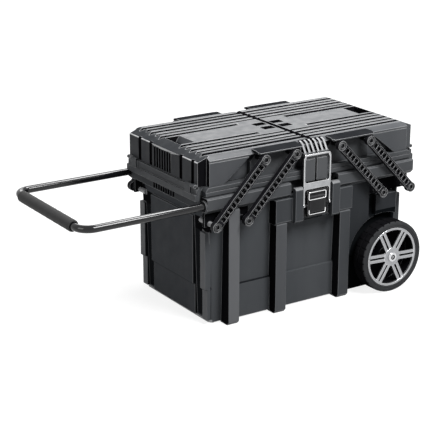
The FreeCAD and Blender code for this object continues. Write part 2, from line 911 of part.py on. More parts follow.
def v_groove(y, width, depth, x0, x1):
    """A lengthwise groove in a lid top."""
    half = width * half_share
    top = lid_crest_z + overlap
    outline = [
        (y - half, top),
        (y - half, lid_crest_z),
        (y, lid_crest_z - depth),
        (y + half, lid_crest_z),
        (y + half, top),
    ]
    return prism_x(outline, x0, x1)


def lid_body():
    """The solid outer form of a lid before it is hollowed."""
    end_start = lid_half_length - lid_end_slope
    lengthwise = [
        (split_gap, lid_base_z),
        (lid_half_length, lid_base_z),
        (lid_half_length, lid_end_edge_z),
        (end_start, lid_crest_z),
        (split_gap + split_chamfer, lid_crest_z),
        (split_gap, lid_crest_z - split_chamfer),
    ]
    across_top = lid_half_width - lid_side_slope
    across = [
        (-lid_half_width, lid_base_z),
        (lid_half_width, lid_base_z),
        (lid_half_width, lid_side_edge_z),
        (across_top, lid_crest_z),
        (-across_top, lid_crest_z),
        (-lid_half_width, lid_side_edge_z),
    ]
    body = prism_y(lengthwise, -lid_half_width, lid_half_width)
    return body.common(prism_x(across, 0, lid_half_length))


def arm_recess():
    """The rear recess in a lid side where the arms lie."""
    outline = [
        (0.0, lid_base_z - overlap),
        (recess_low_x, lid_base_z - overlap),
        (recess_low_x, lid_base_z),
        (recess_high_x, recess_top_z),
        (0.0, recess_top_z),
    ]
    return prism_y(outline, recess_half_width, reach)


def lid_bay():
    """The space inside the rear side panel of a lid."""
    fall = (recess_low_x - recess_high_x) / (recess_top_z - lid_base_z)
    high_x = recess_high_x + fall * (recess_top_z - lid_bay_top) + lid_bay_wall
    end = lid_notch_start - lid_wall
    outline = [
        (recess_low_x + lid_bay_wall, lid_base_z - overlap),
        (end, lid_base_z - overlap),
        (end, lid_bay_top),
        (high_x, lid_bay_top),
        (recess_low_x + lid_bay_wall, lid_base_z),
    ]
    inner = recess_half_width - lid_wall - overlap
    return prism_y(outline, inner, lid_half_width - lid_wall)


def lid_hood():
    """The rear hood that bulges over the upper pivots."""
    slope = hood_end_slope
    low = recess_top_z
    section = [
        (hood_root, low),
        (lid_half_width, low),
        (lid_half_width, hood_base_z),
        (hood_half_width, hood_base_z),
        (hood_half_width, hood_base_z + hood_front_height),
        (hood_half_width - hood_slope, lid_crest_z),
        (hood_root, lid_crest_z),
    ]
    body = prism_x(section, hood_start, hood_end)
    plan = [
        V(hood_start, hood_root, low),
        V(hood_end, hood_root, low),
        V(hood_end, hood_half_width - slope, low),
        V(hood_end - slope, hood_half_width, low),
        V(hood_start + slope, hood_half_width, low),
        V(hood_start, hood_half_width - slope, low),
    ]
    trim = Part.Face(Part.makePolygon(plan + plan[:1])).extrude(V(0, 0, lid_crest_z - low))
    return body.common(trim)


def finger_well():
    """The hand recess with a sloping nose near the outer end of a lid."""
    top = lid_crest_z + overlap
    outline = [
        (well_start, top),
        (well_start, lid_crest_z),
        (well_start + well_nose, lid_crest_z - well_depth),
        (well_end, lid_crest_z - well_depth),
        (well_end, top),
    ]
    return prism_y(outline, -well_half_width, well_half_width)


def well_shell():
    """The material kept below the hand recess."""
    low = lid_crest_z - well_depth - well_roof
    return block(
        well_start,
        well_end + well_roof,
        -well_half_width - well_roof,
        well_half_width + well_roof,
        low,
        lid_crest_z,
    )


def lid_inside():
    """The main space inside a lid."""
    roof = lid_crest_z - lid_roof
    end = lid_half_length - lid_end_wall
    slope_start = lid_half_length - lid_end_slope - lid_end_wall
    outline = [
        (split_gap + lid_wall, lid_base_z - overlap),
        (end, lid_base_z - overlap),
        (end, lid_end_edge_z - lid_end_wall),
        (slope_start, roof),
        (split_gap + lid_wall, roof),
    ]
    inner = recess_half_width - lid_wall
    space = prism_y(outline, -inner, inner).cut(well_shell())
    shell_low = lid_crest_z - pocket_depth - lid_wall
    shell = block(0, pocket_end + lid_wall, -pocket_far - lid_wall, pocket_far + lid_wall, shell_low, lid_crest_z)
    return space.cut(shell)


def lid_top_cuts():
    """Grooves, hand recess and finger pockets in a lid top."""
    cuts = [finger_well()]
    far = lid_half_length + overlap
    grooves = []
    for index, y in enumerate(main_groove_ys):
        start = border_groove_start if index == 0 else 0.0
        grooves.append(v_groove(y, main_groove_width, main_groove_depth, start, far))
    for y in fine_groove_ys:
        grooves.append(v_groove(y, fine_groove_width, fine_groove_depth, 0.0, far))
    pocket_low = lid_crest_z - pocket_depth
    grooves.append(block(pocket_start, pocket_end, pocket_near, pocket_far, pocket_low, lid_crest_z + overlap))
    return cuts + both_sides(grooves)


def lid_end_cuts():
    """Panel grooves and louvres on the outer end of a lid."""
    depth_x = lid_half_length - end_groove_depth
    far = lid_half_length + overlap
    half = end_groove_width * half_share
    grooves = []
    for y in end_groove_ys:
        for place in [y - end_groove_shift, left * y - end_groove_shift]:
            grooves.append(block(depth_x, far, place - half, place + half, end_groove_base, lid_crest_z))
    slots = slot_rows(louvre_count, louvre_pitch, louvre_width, depth_x, far, louvre_base, louvre_top)
    return grooves + slots


def lid_lug():
    """The rear hinge lug of a lid."""
    barrel = rod_y(hinge_x, hinge_z, lug_radius, lug_near, lug_far)
    web = block(lug_root, hinge_x, lug_near, lug_far, lid_base_z, hinge_z + lug_radius)
    return join(barrel, [web])


def make_lid():
    """The hinged lid of the wheel half."""
    body = lid_body()
    notch = block(lid_notch_start, reach, lid_end_half_width, reach, 0, reach + reach)
    body = body.cut(both_sides([arm_recess(), notch]))
    body = body.fuse(both_sides([lid_hood(), lid_lug()]))
    side_z = lid_side_edge_z - side_line_drop
    side_root = lid_half_width - side_line_depth
    side_line = block(recess_high_x, reach, side_root, lid_half_width + overlap, side_z - side_line_width, side_z)
    cuts = [lid_inside()] + both_sides([lid_bay(), side_line]) + lid_top_cuts() + lid_end_cuts()
    pin_radius = hinge_pin_radius + running_clearance
    cuts.append(rod_y(hinge_x, hinge_z, pin_radius, -reach, reach))
    return body.cut(cuts).removeSplitter()


def make_hinge_pin():
    """One of the rear pins that a lid turns on."""
    return rod_y(hinge_x, hinge_z, hinge_pin_radius, knuckle_near, lug_far)


def make_catch():
    """The latch catch of the wheel half, built on the rear and mirrored."""
    plate = block(split_gap, catch_half_length, catch_back, catch_face, catch_base_z, catch_top_z)
    riser = block(split_gap, catch_half_length, catch_back, catch_face, catch_top_z - overlap, fin_low_z)
    web = block(split_gap, catch_half_length, recess_half_width, catch_face, catch_web_base, fin_low_z)
    stem = block(split_gap, catch_half_length, recess_half_width, lid_half_width, catch_web_base, recess_top_z)
    fin_profile = [
        (lid_half_width, catch_web_base),
        (catch_face, catch_web_base),
        (catch_face, fin_low_z),
        (lid_half_width, fin_top_z),
        (fin_root_y, lid_crest_z),
        (fin_root_y, fin_root_z),
        (lid_half_width, fin_foot_z),
    ]
    fins = []
    half = fin_width * half_share
    for x in fin_xs:
        fins.append(prism_x(fin_profile, x - half, x + half))
    body = join(plate, [riser, web, stem] + fins)
    groove_top = catch_groove_z + catch_groove_height
    groove = block(0, reach, catch_face - catch_groove_depth, reach, catch_groove_z, groove_top)
    return to_front(body.cut(groove))


def make_divider():
    """The removable cross divider inside a tray."""
    inside_y = tray_half_width - tray_wall - divider_gap
    x0 = tray_inner_x + tray_wall + divider_gap
    x1 = tray_end_x - tray_end_wall - divider_gap
    floor = tray_base_z + tray_wall
    half = divider_thickness * half_share
    lengthwise = block(x0, x1, -half, half, floor, divider_top)
    across = block(divider_x - half, divider_x + half, -inside_y, inside_y, floor, divider_top)
    return join(lengthwise, [across])


def make_tyre():
    """The rear rubber tyre."""
    shoulder = tyre_shoulder
    tread_middle = (wheel_inner + wheel_outer) * half_share
    groove = tread_groove_width * half_share
    deep = wheel_radius - tread_groove_depth
    outline = [
        (wheel_inner + tyre_face_inset, rim_radius),
        (wheel_outer - tyre_face_inset, rim_radius),
        (wheel_outer, rim_radius + tyre_face_inset),
        (wheel_outer, wheel_radius - shoulder),
        (wheel_outer - shoulder, wheel_radius),
        (tread_middle + groove, wheel_radius),
        (tread_middle + groove, deep),
        (tread_middle - groove, deep),
        (tread_middle - groove, wheel_radius),
        (wheel_inner + shoulder, wheel_radius),
        (wheel_inner, wheel_radius - shoulder),
        (wheel_inner, rim_radius + tyre_face_inset),
    ]
    return turned(outline)


def turned(outline):
    """A y-radius outline turned about the axle line."""
    corners = [V(wheel_x, y, wheel_z + radius) for y, radius in outline]
    face = Part.Face(Part.makePolygon(corners + corners[:1]))
    return face.revolve(V(wheel_x, 0, wheel_z), V(0, 1, 0), 360)


def make_wheel_core():
    """The rear wheel body that carries the tyre."""
    bore = axle_radius + running_clearance
    outline = [
        (hub_inner, bore),
        (core_face, bore),
        (core_face, hub_radius),
        (core_web_end, hub_radius),
        (core_web_end, rim_radius - core_wall),
        (core_face, rim_radius - core_wall),
        (core_face, rim_radius),
        (wheel_inner + tyre_face_inset, rim_radius),
        (wheel_inner + tyre_face_inset, rim_radius - core_wall),
        (core_web_start, rim_radius - core_wall),
        (core_web_start, hub_radius),
        (hub_inner, hub_radius),
    ]
    return turned(outline)


def make_wheel_trim():
    """The rear spoked wheel face."""
    back = core_face
    face = core_face + trim_thickness
    ring = rod_y(wheel_x, wheel_z, rim_radius, back, face)
    ring = ring.cut(rod_y(wheel_x, wheel_z, trim_ring_inner, back - overlap, face + overlap))
    disc = rod_y(wheel_x, wheel_z, trim_disc_radius, back, face)
    spokes = []
    offset = (spoke_width + spoke_slot) * half_share
    half = spoke_width * half_share
    for index in range(spoke_pairs):
        angle = spoke_start_angle + index * 360 / spoke_pairs
        for side in [-offset, offset]:
            spoke = block(0, trim_ring_inner + overlap, back, face - overlap, side - half, side + half)
            spoke.translate(V(wheel_x, 0, wheel_z))
            spoke.rotate(V(wheel_x, 0, wheel_z), V(0, 1, 0), angle)
            spokes.append(spoke)
    body = ring.fuse([disc] + spokes)
    hole = rod_y(wheel_x, wheel_z, axle_radius + cap_pocket_gap, back - overlap, face + overlap)
    return body.cut(hole).removeSplitter()


def make_cap():
    """The rear hub cap."""
    back = core_face + trim_thickness
    straight = cap_height - cap_edge
    disc = rod_y(wheel_x, wheel_z, cap_radius, back, back + straight)
    edge = Part.makeCone(cap_radius, cap_radius - cap_edge, cap_edge, V(wheel_x, back + straight, wheel_z), V(0, 1, 0))
    return join(disc, [edge])


def make_axle():
    """The steel axle across both wheels."""
    return rod_y(wheel_x, wheel_z, axle_radius, -axle_end, axle_end)


def handle_path():
    """The centre line of the pull handle."""
    bend = handle_bend_radius
    bow = bend * (1 - math.cos(math.pi / 4))
    tail = left * handle_tail_x
    grip = left * handle_grip_x
    near = front * handle_y
    corner_x = grip + bend
    far_bow = V(grip + bow, handle_y - bow, handle_z)
    near_bow = V(grip + bow, near + bow, handle_z)
    first = Part.LineSegment(V(tail, near, handle_z), V(corner_x, near, handle_z))
    second = Part.Arc(V(corner_x, near, handle_z), near_bow, V(grip, near + bend, handle_z))
    third = Part.LineSegment(V(grip, near + bend, handle_z), V(grip, handle_y - bend, handle_z))
    fourth = Part.Arc(V(grip, handle_y - bend, handle_z), far_bow, V(corner_x, handle_y, handle_z))
    fifth = Part.LineSegment(V(corner_x, handle_y, handle_z), V(tail, handle_y, handle_z))
    return Part.Wire([piece.toShape() for piece in [first, second, third, fourth, fifth]])


def make_handle_tube():
    """The bent tube of the pull handle."""
    path = handle_path()
    start = V(left * handle_tail_x, front * handle_y, handle_z)
    solids = []
    for radius in [handle_tube_radius, handle_tube_radius - handle_tube_wall]:
        circle = Part.Wire([Part.makeCircle(radius, start, V(1, 0, 0))])
        solids.append(path.makePipeShell([circle], True, False))
    return solids[0].cut(solids[1])


def make_grip():
    """The foam sleeve on the handle."""
    x = left * handle_grip_x
    sleeve = rod_y(x, handle_z, grip_radius, -grip_half_length, grip_half_length)
    rims = [edge for edge in sleeve.Edges if isinstance(edge.Curve, Part.Circle)]
    sleeve = sleeve.makeFillet(grip_edge, rims)
    return sleeve.cut(rod_y(x, handle_z, handle_tube_radius, -reach, reach))


def make_plug():
    """The rear end plug of the handle tube."""
    x = left * handle_tail_x
    inner = handle_tube_radius - handle_tube_wall
    stem = rod_x(handle_y, handle_z, inner, x - plug_length, x + overlap)
    head = rod_x(handle_y, handle_z, handle_tube_radius, x, x + plug_head)
    return join(stem, [head])


def make_latch_base():
    """The plate and ears that carry the lever."""
    back = surround_half_width
    face = back + latch_base_thickness
    plate = block(-latch_half_length, latch_half_length, back, face, latch_base_low, latch_base_high)
    ears = []
    for side in [left, -left]:
        x0 = side * latch_ear_inner
        x1 = side * latch_ear_outer
        ears.append(rod_x(lever_pivot_y, lever_pivot_z, latch_ear_radius, x0, x1))
        low = lever_pivot_z - latch_ear_radius
        high = lever_pivot_z + latch_ear_radius
        ears.append(block(x0, x1, back, lever_pivot_y, low, high))
    hole = rod_x(lever_pivot_y, lever_pivot_z, lever_pin_radius, -reach, reach)
    return to_front(join(plate, ears).cut(hole))


def make_latch_pin():
    """The pin that the lever turns on."""
    return to_front(rod_x(lever_pivot_y, lever_pivot_z, lever_pin_radius, -lever_pin_end, lever_pin_end))


def make_lever():
    """The latch lever frame with the bail pins."""
    half = lever_half_length
    knuckle = rod_x(lever_pivot_y, lever_pivot_z, lever_knuckle_radius, -half, half)
    plate = block(-half, half, lever_plate_back, lever_plate_face, lever_low_z, lever_pivot_z)
    rails = []
    for side in [left, -left]:
        inner = side * (half - lever_rail_width)
        rails.append(block(inner, side * half, lever_plate_back, lever_rail_face, lever_low_z, lever_pivot_z))
        rails.append(rod_x(bail_pivot_y, bail_pivot_z, bail_pin_radius, inner, side * bail_pin_end))
    lip = block(-half, half, lever_plate_back, lever_lip_face, lever_lip_z, lever_low_z)
    body = join(knuckle, [plate, lip] + rails)
    bore = rod_x(lever_pivot_y, lever_pivot_z, lever_pin_radius + running_clearance, -reach, reach)
    return to_front(body.cut(bore))


def make_pad():
    """The plastic finger pad on the lever."""
    back = lever_plate_face
    face = pad_face
    section = [
        (back, pad_low_z),
        (face - pad_edge, pad_low_z),
        (face, pad_low_z + pad_edge),
        (face, pad_high_z - pad_edge),
        (face - pad_edge, pad_high_z),
        (back, pad_high_z),
    ]
    return to_front(prism_x(section, -pad_half_length, pad_half_length))


def bail_outline():
    """Front outline of the bail with narrow shoulders."""
    shoulder_z = bail_top_z - bail_shoulder_height
    crown_x = bail_leg_outer - bail_shoulder_step
    return [
        (-bail_leg_outer, bail_pivot_z),
        (-bail_leg_outer, shoulder_z),
        (-crown_x, bail_top_z),
        (crown_x, bail_top_z),
        (bail_leg_outer, shoulder_z),
        (bail_leg_outer, bail_pivot_z),
    ]


def bail_window():
    """Outline of the opening above the cross plate."""
    shoulder_z = bail_bar_low - bail_shoulder_height
    crown_x = bail_leg_inner - bail_shoulder_step
    foot_x = bail_leg_inner - bail_corner
    return [
        (-foot_x, bail_plate_high),
        (foot_x, bail_plate_high),
        (bail_leg_inner, bail_plate_high + bail_corner),
        (bail_leg_inner, shoulder_z),
        (crown_x, bail_bar_low),
        (-crown_x, bail_bar_low),
        (-bail_leg_inner, shoulder_z),
        (-bail_leg_inner, bail_plate_high + bail_corner),
    ]


def bail_slot():
    """Outline of the opening between the legs below the cross plate."""
    foot_x = bail_leg_inner - bail_corner
    low = bail_pivot_z - overlap
    return [
        (-bail_leg_inner, low),
        (bail_leg_inner, low),
        (bail_leg_inner, bail_plate_low - bail_corner),
        (foot_x, bail_plate_low),
        (-foot_x, bail_plate_low),
        (-bail_leg_inner, bail_plate_low - bail_corner),
    ]


def make_bail():
    """The latch bail that draws the lids down."""
    before = bail_back - overlap
    beyond = bail_face + overlap
    frame = prism_y(bail_outline(), bail_back, bail_face)
    openings = [prism_y(outline, before, beyond) for outline in [bail_window(), bail_slot()]]
    relief = block(-bail_leg_inner, bail_leg_inner, before, bail_plate_back, bail_plate_low, bail_plate_high)
    edge = [
        (bail_face - bail_edge, bail_top_z),
        (bail_face, bail_top_z - bail_edge),
        (beyond, bail_top_z - bail_edge),
        (beyond, bail_top_z + overlap),
        (bail_face - bail_edge, bail_top_z + overlap),
    ]
    cuts = openings + [relief, prism_x(edge, -reach, reach)]
    eyes = []
    for side in [left, -left]:
        x0 = side * bail_leg_inner
        x1 = side * bail_leg_outer
        eyes.append(rod_x(bail_pivot_y, bail_pivot_z, bail_eye_radius, x0, x1))
    bore = bail_pin_radius + running_clearance
    hole = rod_x(bail_pivot_y, bail_pivot_z, bore, -reach, reach)
    return to_front(join(frame.cut(cuts), eyes).cut(hole))


def save(node, shape):
    """Write one node."""
    shape.exportStep("parts/" + node + ".step")


def save_wheels():
    """Write both wheels and their axle."""
    save("axle", make_axle())
    makers = [("tyre", make_tyre), ("wheel_core", make_wheel_core), ("wheel_trim", make_wheel_trim), ("hub_cap", make_cap)]
    for name, maker in makers:
        piece = maker()
        save("rear_" + name, piece)
        save("front_" + name, to_front(piece))


def save_rails():
    """Write the four side rails."""
    plain = make_rail(False)
    guided = to_left(make_rail(True))
    save("right_rear_rail", plain)
    save("right_front_rail", to_front(plain))
    save("left_rear_rail", guided)
    save("left_front_rail", to_front(guided))


def save_arms():
    """Write the eight arms and their pins."""
    places = [("inner", upper_inner_x, lower_inner_x, loop_clearance)]
    places.append(("outer", upper_outer_x, lower_outer_x, running_clearance))
    for name, upper_x, lower_x, clearance in places:
        pieces = [("arm", make_arm(upper_x, clearance))]
        pieces.append(("upper_pin", make_pin(upper_x, upper_pivot_z, ear_outside, upper_tail_length)))
        pieces.append(("lower_pin", make_pin(lower_x, lower_pivot_z, rail_boss_end, lower_tail_length)))
        for kind, piece in pieces:
            save("right_rear_" + name + "_" + kind, piece)
            save("right_front_" + name + "_" + kind, to_front(piece))
            save("left_rear_" + name + "_" + kind, to_left(piece))
            save("left_front_" + name + "_" + kind, to_left(to_front(piece)))


def save_halves():
    """Write the trays, lids and what they carry."""
    makers = [("tray", make_tray), ("lid", make_lid)]
    makers += [("catch", make_catch), ("divider", make_divider)]
    for name, maker in makers:
        piece = maker()
        save("right_" + name, piece)
        save("left_" + name, to_left(piece))
    pin = make_hinge_pin()
    save("right_rear_hinge_pin", pin)
    save("right_front_hinge_pin", to_front(pin))
    save("left_rear_hinge_pin", to_left(pin))
    save("left_front_hinge_pin", to_left(to_front(pin)))


def save_handle():
    """Write the pull handle."""
    save("handle_tube", make_handle_tube())
    save("handle_grip", make_grip())
    plug = make_plug()
    save("rear_handle_plug", plug)
    save("front_handle_plug", to_front(plug))


def save_latch():
    """Write the toggle latch."""
    save("latch_base", make_latch_base())
    save("latch_pin", make_latch_pin())
    save("latch_lever", make_lever())
    save("latch_pad", make_pad())
    save("latch_bail", make_bail())


save("tub", make_tub())
save_rails()
save_wheels()
save_arms()
save_halves()
save_handle()
save_latch()
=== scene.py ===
"""Looks of the wheeled tool box: moulded plastics, wheels, latch, hand grip, stage and camera."""

from __future__ import annotations

import json
import logging
import math
from dataclasses import dataclass, field, replace
from enum import Enum
from functools import cached_property
from itertools import zip_longest
from typing import Callable, Sequence

import bpy
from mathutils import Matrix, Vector

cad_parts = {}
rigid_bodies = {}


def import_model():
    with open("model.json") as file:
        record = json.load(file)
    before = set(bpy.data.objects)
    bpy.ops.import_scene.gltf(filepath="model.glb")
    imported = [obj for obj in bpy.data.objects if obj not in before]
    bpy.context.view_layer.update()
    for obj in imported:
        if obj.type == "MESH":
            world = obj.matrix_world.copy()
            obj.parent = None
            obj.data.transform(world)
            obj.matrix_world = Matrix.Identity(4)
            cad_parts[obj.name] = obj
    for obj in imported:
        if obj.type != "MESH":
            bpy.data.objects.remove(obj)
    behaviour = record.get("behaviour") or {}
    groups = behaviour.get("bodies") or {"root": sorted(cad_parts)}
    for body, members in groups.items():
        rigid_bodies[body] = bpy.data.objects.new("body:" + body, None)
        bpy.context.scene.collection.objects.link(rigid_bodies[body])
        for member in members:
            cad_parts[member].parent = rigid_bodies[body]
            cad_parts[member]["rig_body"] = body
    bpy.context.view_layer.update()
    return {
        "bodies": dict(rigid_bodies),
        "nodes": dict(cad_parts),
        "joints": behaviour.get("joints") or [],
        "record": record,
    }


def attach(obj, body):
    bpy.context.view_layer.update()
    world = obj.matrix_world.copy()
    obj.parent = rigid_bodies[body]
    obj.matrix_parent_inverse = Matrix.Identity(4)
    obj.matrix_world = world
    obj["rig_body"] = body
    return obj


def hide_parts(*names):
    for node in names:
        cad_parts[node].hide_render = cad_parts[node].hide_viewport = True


LOG = logging.getLogger("tool_box")
MM = 0.001
FLAT_ANGLE = 0.5
SHARP_ANGLE = 34.0
SMOOTH_ANGLE = 50.0
MERGE_DISTANCE = 0.01 * MM
EDGE_STEPS = 2
EDGE_SLOT = 1
NORMAL_WEIGHT = 60
X_AXIS = (1.0, 0.0, 0.0)
Y_AXIS = (0.0, 1.0, 0.0)
Z_AXIS = (0.0, 0.0, 1.0)
EVEN = (1.0, 1.0, 1.0)

Triple = tuple[float, float, float]
Limits = tuple[float, float]
Profile = Sequence[tuple[float, float]]
Test = Callable[[Vector, Vector], bool]


class Side(Enum):
    """The two halves of the box along its length."""

    LEFT = "left"
    RIGHT = "right"


class End(Enum):
    """The latch wall and the wall behind it."""

    FRONT = "front"
    REAR = "rear"

    @property
    def sign(self) -> float:
        """Direction of this wall along Y."""
        return -1.0 if self is End.FRONT else 1.0


class Texture(Enum):
    """Kinds of pattern, by Blender's name of the node."""

    NOISE = "ShaderNodeTexNoise"
    CELLS = "ShaderNodeTexVoronoi"


@dataclass(frozen=True)
class Pattern:
    """A pattern on a piece's own coordinates, with its patches in a metre and its octaves."""

    scale: float
    detail: float
    stretch: Triple = EVEN
    kind: Texture = Texture.NOISE


SLOW = Pattern(30.0, 3.0)
DRAWN = Pattern(900.0, 3.0, (0.04, 1.0, 1.0))
TURNED = Pattern(900.0, 3.0, (1.0, 0.04, 1.0))


class Graph:
    """The node tree of a material or a world, with short ways to add and join nodes."""

    ramp_ends: Limits = (0.35, 0.65)
    noise_ends: Limits = (0.3, 0.7)

    def __init__(self, owner: bpy.types.Material | bpy.types.World, output: str) -> None:
        """Start a tree that holds only its output.

        Args:
            owner: The material or world.
            output: Blender's name of its output node.
        """
        owner.use_nodes = True
        self.tree = owner.node_tree
        self.tree.nodes.clear()
        self.surface = self.add(output).inputs["Surface"]
        self.values: dict[Pattern, bpy.types.NodeSocket] = {}

    @cached_property
    def coords(self) -> bpy.types.NodeSocket:
        """The piece's own coordinates."""
        return self.add("ShaderNodeTexCoord").outputs["Object"]

    def add(self, kind: str, values: dict[str, object] | None = None, **settings: object) -> bpy.types.Node:
        """Add one node.

        Args:
            kind: Blender's name of the node type.
            values: Constants of its inputs.
            **settings: Plain settings of the node.

        Returns:
            The new node.
        """
        node = self.tree.nodes.new(kind)
        for key, value in settings.items():
            setattr(node, key, value)
        for key, value in (values or {}).items():
            node.inputs[key].default_value = value
        return node

    def join(self, start: bpy.types.NodeSocket, end: bpy.types.NodeSocket) -> None:
        """Link an output to an input."""
        self.tree.links.new(start, end)

    def value(self, pattern: Pattern) -> bpy.types.NodeSocket:
        """The value of a pattern, made once in each tree.

        Args:
            pattern: The pattern.

        Returns:
            A value from 0 to 1.
        """
        if pattern not in self.values:
            mapping = self.add("ShaderNodeMapping", {"Scale": pattern.stretch})
            texture = self.add(pattern.kind.value, {"Scale": pattern.scale, "Detail": pattern.detail})
            self.join(self.coords, mapping.inputs["Vector"])
            self.join(mapping.outputs["Vector"], texture.inputs["Vector"])
            self.values[pattern] = texture.outputs[0]
        return self.values[pattern]

    def ramp(self, value: bpy.types.NodeSocket, low: Triple, high: Triple) -> bpy.types.NodeSocket:
        """Blend of two colours by a value.

        Args:
            value: What drives the blend.
            low: Colour at the ramp's lower end and less.
            high: Colour at its upper end and more.

        Returns:
            The blended colour.
        """
        node = self.add("ShaderNodeValToRGB")
        first, last = node.color_ramp.elements
        first.position, last.position = self.ramp_ends
        first.color = (*low, 1.0)
        last.color = (*high, 1.0)
        self.join(value, node.inputs["Fac"])
        return node.outputs["Color"]

    def span(self, value: bpy.types.NodeSocket, ends: Limits, result: Limits) -> bpy.types.NodeSocket:
        """Map a value from one range to another.

        Args:
            value: The value.
            ends: Its range.
            result: The range of the result.

        Returns:
            The mapped value.
        """
        sockets = ("From Min", "From Max", "To Min", "To Max")
        node = self.add("ShaderNodeMapRange", dict(zip(sockets, (*ends, *result))))
        self.join(value, node.inputs["Value"])
        return node.outputs["Result"]

    def bump(self, height: bpy.types.NodeSocket, strength: float, depth: float) -> bpy.types.NodeSocket:
        """Normal from a height.

        Args:
            height: The height value.
            strength: Strength from 0 to 1.
            depth: Height of a full step in metres.

        Returns:
            The bumped normal.
        """
        node = self.add("ShaderNodeBump", {"Strength": strength, "Distance": depth})
        self.join(height, node.inputs["Height"])
        return node.outputs["Normal"]

    def white_for_view(self, plain: bpy.types.NodeSocket, white: bpy.types.NodeSocket) -> None:
        """Show white to rays from the camera, a mirror or a glass, and a plain shader to the rest.

        Args:
            plain: The plain shader.
            white: The white shader.
        """
        path = self.add("ShaderNodeLightPath")
        seen = path.outputs["Is Camera Ray"]
        for ray in ("Is Glossy Ray", "Is Transmission Ray"):
            either = self.add("ShaderNodeMath", operation="MAXIMUM")
            self.join(seen, either.inputs[0])
            self.join(path.outputs[ray], either.inputs[1])
            seen = either.outputs[0]
        mix = self.add("ShaderNodeMixShader")
        for start, end in zip((seen, plain, white), mix.inputs):
            self.join(start, end)
        self.join(mix.outputs[0], self.surface)


@dataclass(frozen=True)
class Finish:
    """A finish with a pattern each for its colour, its roughness and its relief."""

    name: str
    colour: Triple
    drift: Triple
    roughness: Limits = (0.42, 0.56)
    specular: float = 0.5
    relief: float = 0.05
    depth: float = 0.1 * MM
    tint: Pattern = SLOW
    rub: Pattern = SLOW
    grain: Pattern = SLOW
    metal: float = 0.0
    coat: float = 0.0
    coat_roughness: float = 0.15
    sheen: float = 0.0
    sheen_roughness: float = 0.6

    def material(self) -> bpy.types.Material:
        """The finish as a material, made once.

        Returns:
            The material.
        """
        known = bpy.data.materials.get(self.name)
        if known is not None:
            return known
        material = bpy.data.materials.new(self.name)
        graph = Graph(material, "ShaderNodeOutputMaterial")
        values = {
            "Specular IOR Level": self.specular,
            "Metallic": self.metal,
            "Coat Weight": self.coat,
            "Coat Roughness": self.coat_roughness,
            "Sheen Weight": self.sheen,
            "Sheen Roughness": self.sheen_roughness,
        }
        shader = graph.add("ShaderNodeBsdfPrincipled", values)
        colour = graph.ramp(graph.value(self.tint), self.colour, self.drift)
        roughness = graph.span(graph.value(self.rub), graph.noise_ends, self.roughness)
        normal = graph.bump(graph.value(self.grain), self.relief, self.depth)
        graph.join(colour, shader.inputs["Base Color"])
        graph.join(roughness, shader.inputs["Roughness"])
        graph.join(normal, shader.inputs["Normal"])
        graph.join(shader.outputs["BSDF"], graph.surface)
        return material


@dataclass(frozen=True)
class Plastic(Finish):
    """Moulded plastic with a fine grain and a slow drift of colour."""

    specular: float = 0.35
    relief: float = 0.16
    depth: float = 0.25 * MM
    tint: Pattern = Pattern(14.0, 4.0, (1.0, 1.0, 0.2))
    rub: Pattern = Pattern(46.0, 5.0)
    grain: Pattern = Pattern(1300.0, 2.0)


@dataclass(frozen=True)
class Metal(Finish):
    """Plated steel with faint draw lines."""

    roughness: Limits = (0.18, 0.34)
    relief: float = 0.08
    tint: Pattern = Pattern(60.0, 3.0)
    rub: Pattern = DRAWN
    grain: Pattern = DRAWN
    metal: float = 1.0


@dataclass(frozen=True)
class SilverPaint(Finish):
    """Silver lacquer with fine flakes on plastic."""

    roughness: Limits = (0.28, 0.40)
    tint: Pattern = Pattern(2600.0, 1.0)
    rub: Pattern = Pattern(70.0, 4.0)
    grain: Pattern = Pattern(2600.0, 1.0)
    metal: float = 0.75
    coat: float = 0.25


@dataclass(frozen=True)
class GlossPaint(Finish):
    """Glossy black lacquer with a slight orange peel."""

    roughness: Limits = (0.07, 0.11)
    specular: float = 0.38
    depth: float = 0.2 * MM
    grain: Pattern = Pattern(420.0, 2.0)


@dataclass(frozen=True)
class Rubber(Finish):
    """Dull tyre rubber with a dusty bloom."""

    roughness: Limits = (0.62, 0.82)
    specular: float = 0.08
    relief: float = 0.25
    depth: float = 0.3 * MM
    tint: Pattern = Pattern(38.0, 5.0)
    rub: Pattern = Pattern(38.0, 5.0)
    grain: Pattern = Pattern(1100.0, 3.0)


@dataclass(frozen=True)
class Foam(Finish):
    """Closed-cell foam with an open-pored skin."""

    roughness: Limits = (0.80, 0.95)
    specular: float = 0.02
    relief: float = 0.35
    depth: float = 0.6 * MM
    tint: Pattern = Pattern(55.0, 4.0)
    rub: Pattern = Pattern(55.0, 4.0)
    grain: Pattern = Pattern(900.0, 0.0, EVEN, Texture.CELLS)
    sheen: float = 0.01


# Finishes of the tub: a plain charcoal, and colours that paint light and shade on it
TUB_PLASTIC = Plastic("tub_charcoal", (0.052, 0.056, 0.061), (0.061, 0.065, 0.070), (0.46, 0.60), 0.10)
# Lighter rounded edges of the tub: painted highlight
TUB_EDGE_HIGHLIGHT = Plastic("tub_edge", (0.080, 0.084, 0.090), (0.098, 0.102, 0.108), (0.36, 0.46), 0.30, 0.06)
# Lighter rib faces and corner posts: painted light
TUB_RIB_LIGHT = Plastic("tub_rib_painted_light", (0.101, 0.104, 0.110), (0.115, 0.118, 0.124), (0.44, 0.56), 0.14)
# Rib faces lighter in the middle and darker towards the wheels: a painted fall-off of light
MIDDLE_RIB_LIGHT = Plastic("tub_middle_rib_painted_light", (0.061, 0.064, 0.069), (0.071, 0.074, 0.079), (0.44, 0.56), 0.12)
WHEEL_RIB_SHADE = Plastic("tub_wheel_rib_painted_shade", (0.037, 0.040, 0.044), (0.044, 0.047, 0.051), (0.44, 0.56), 0.10)
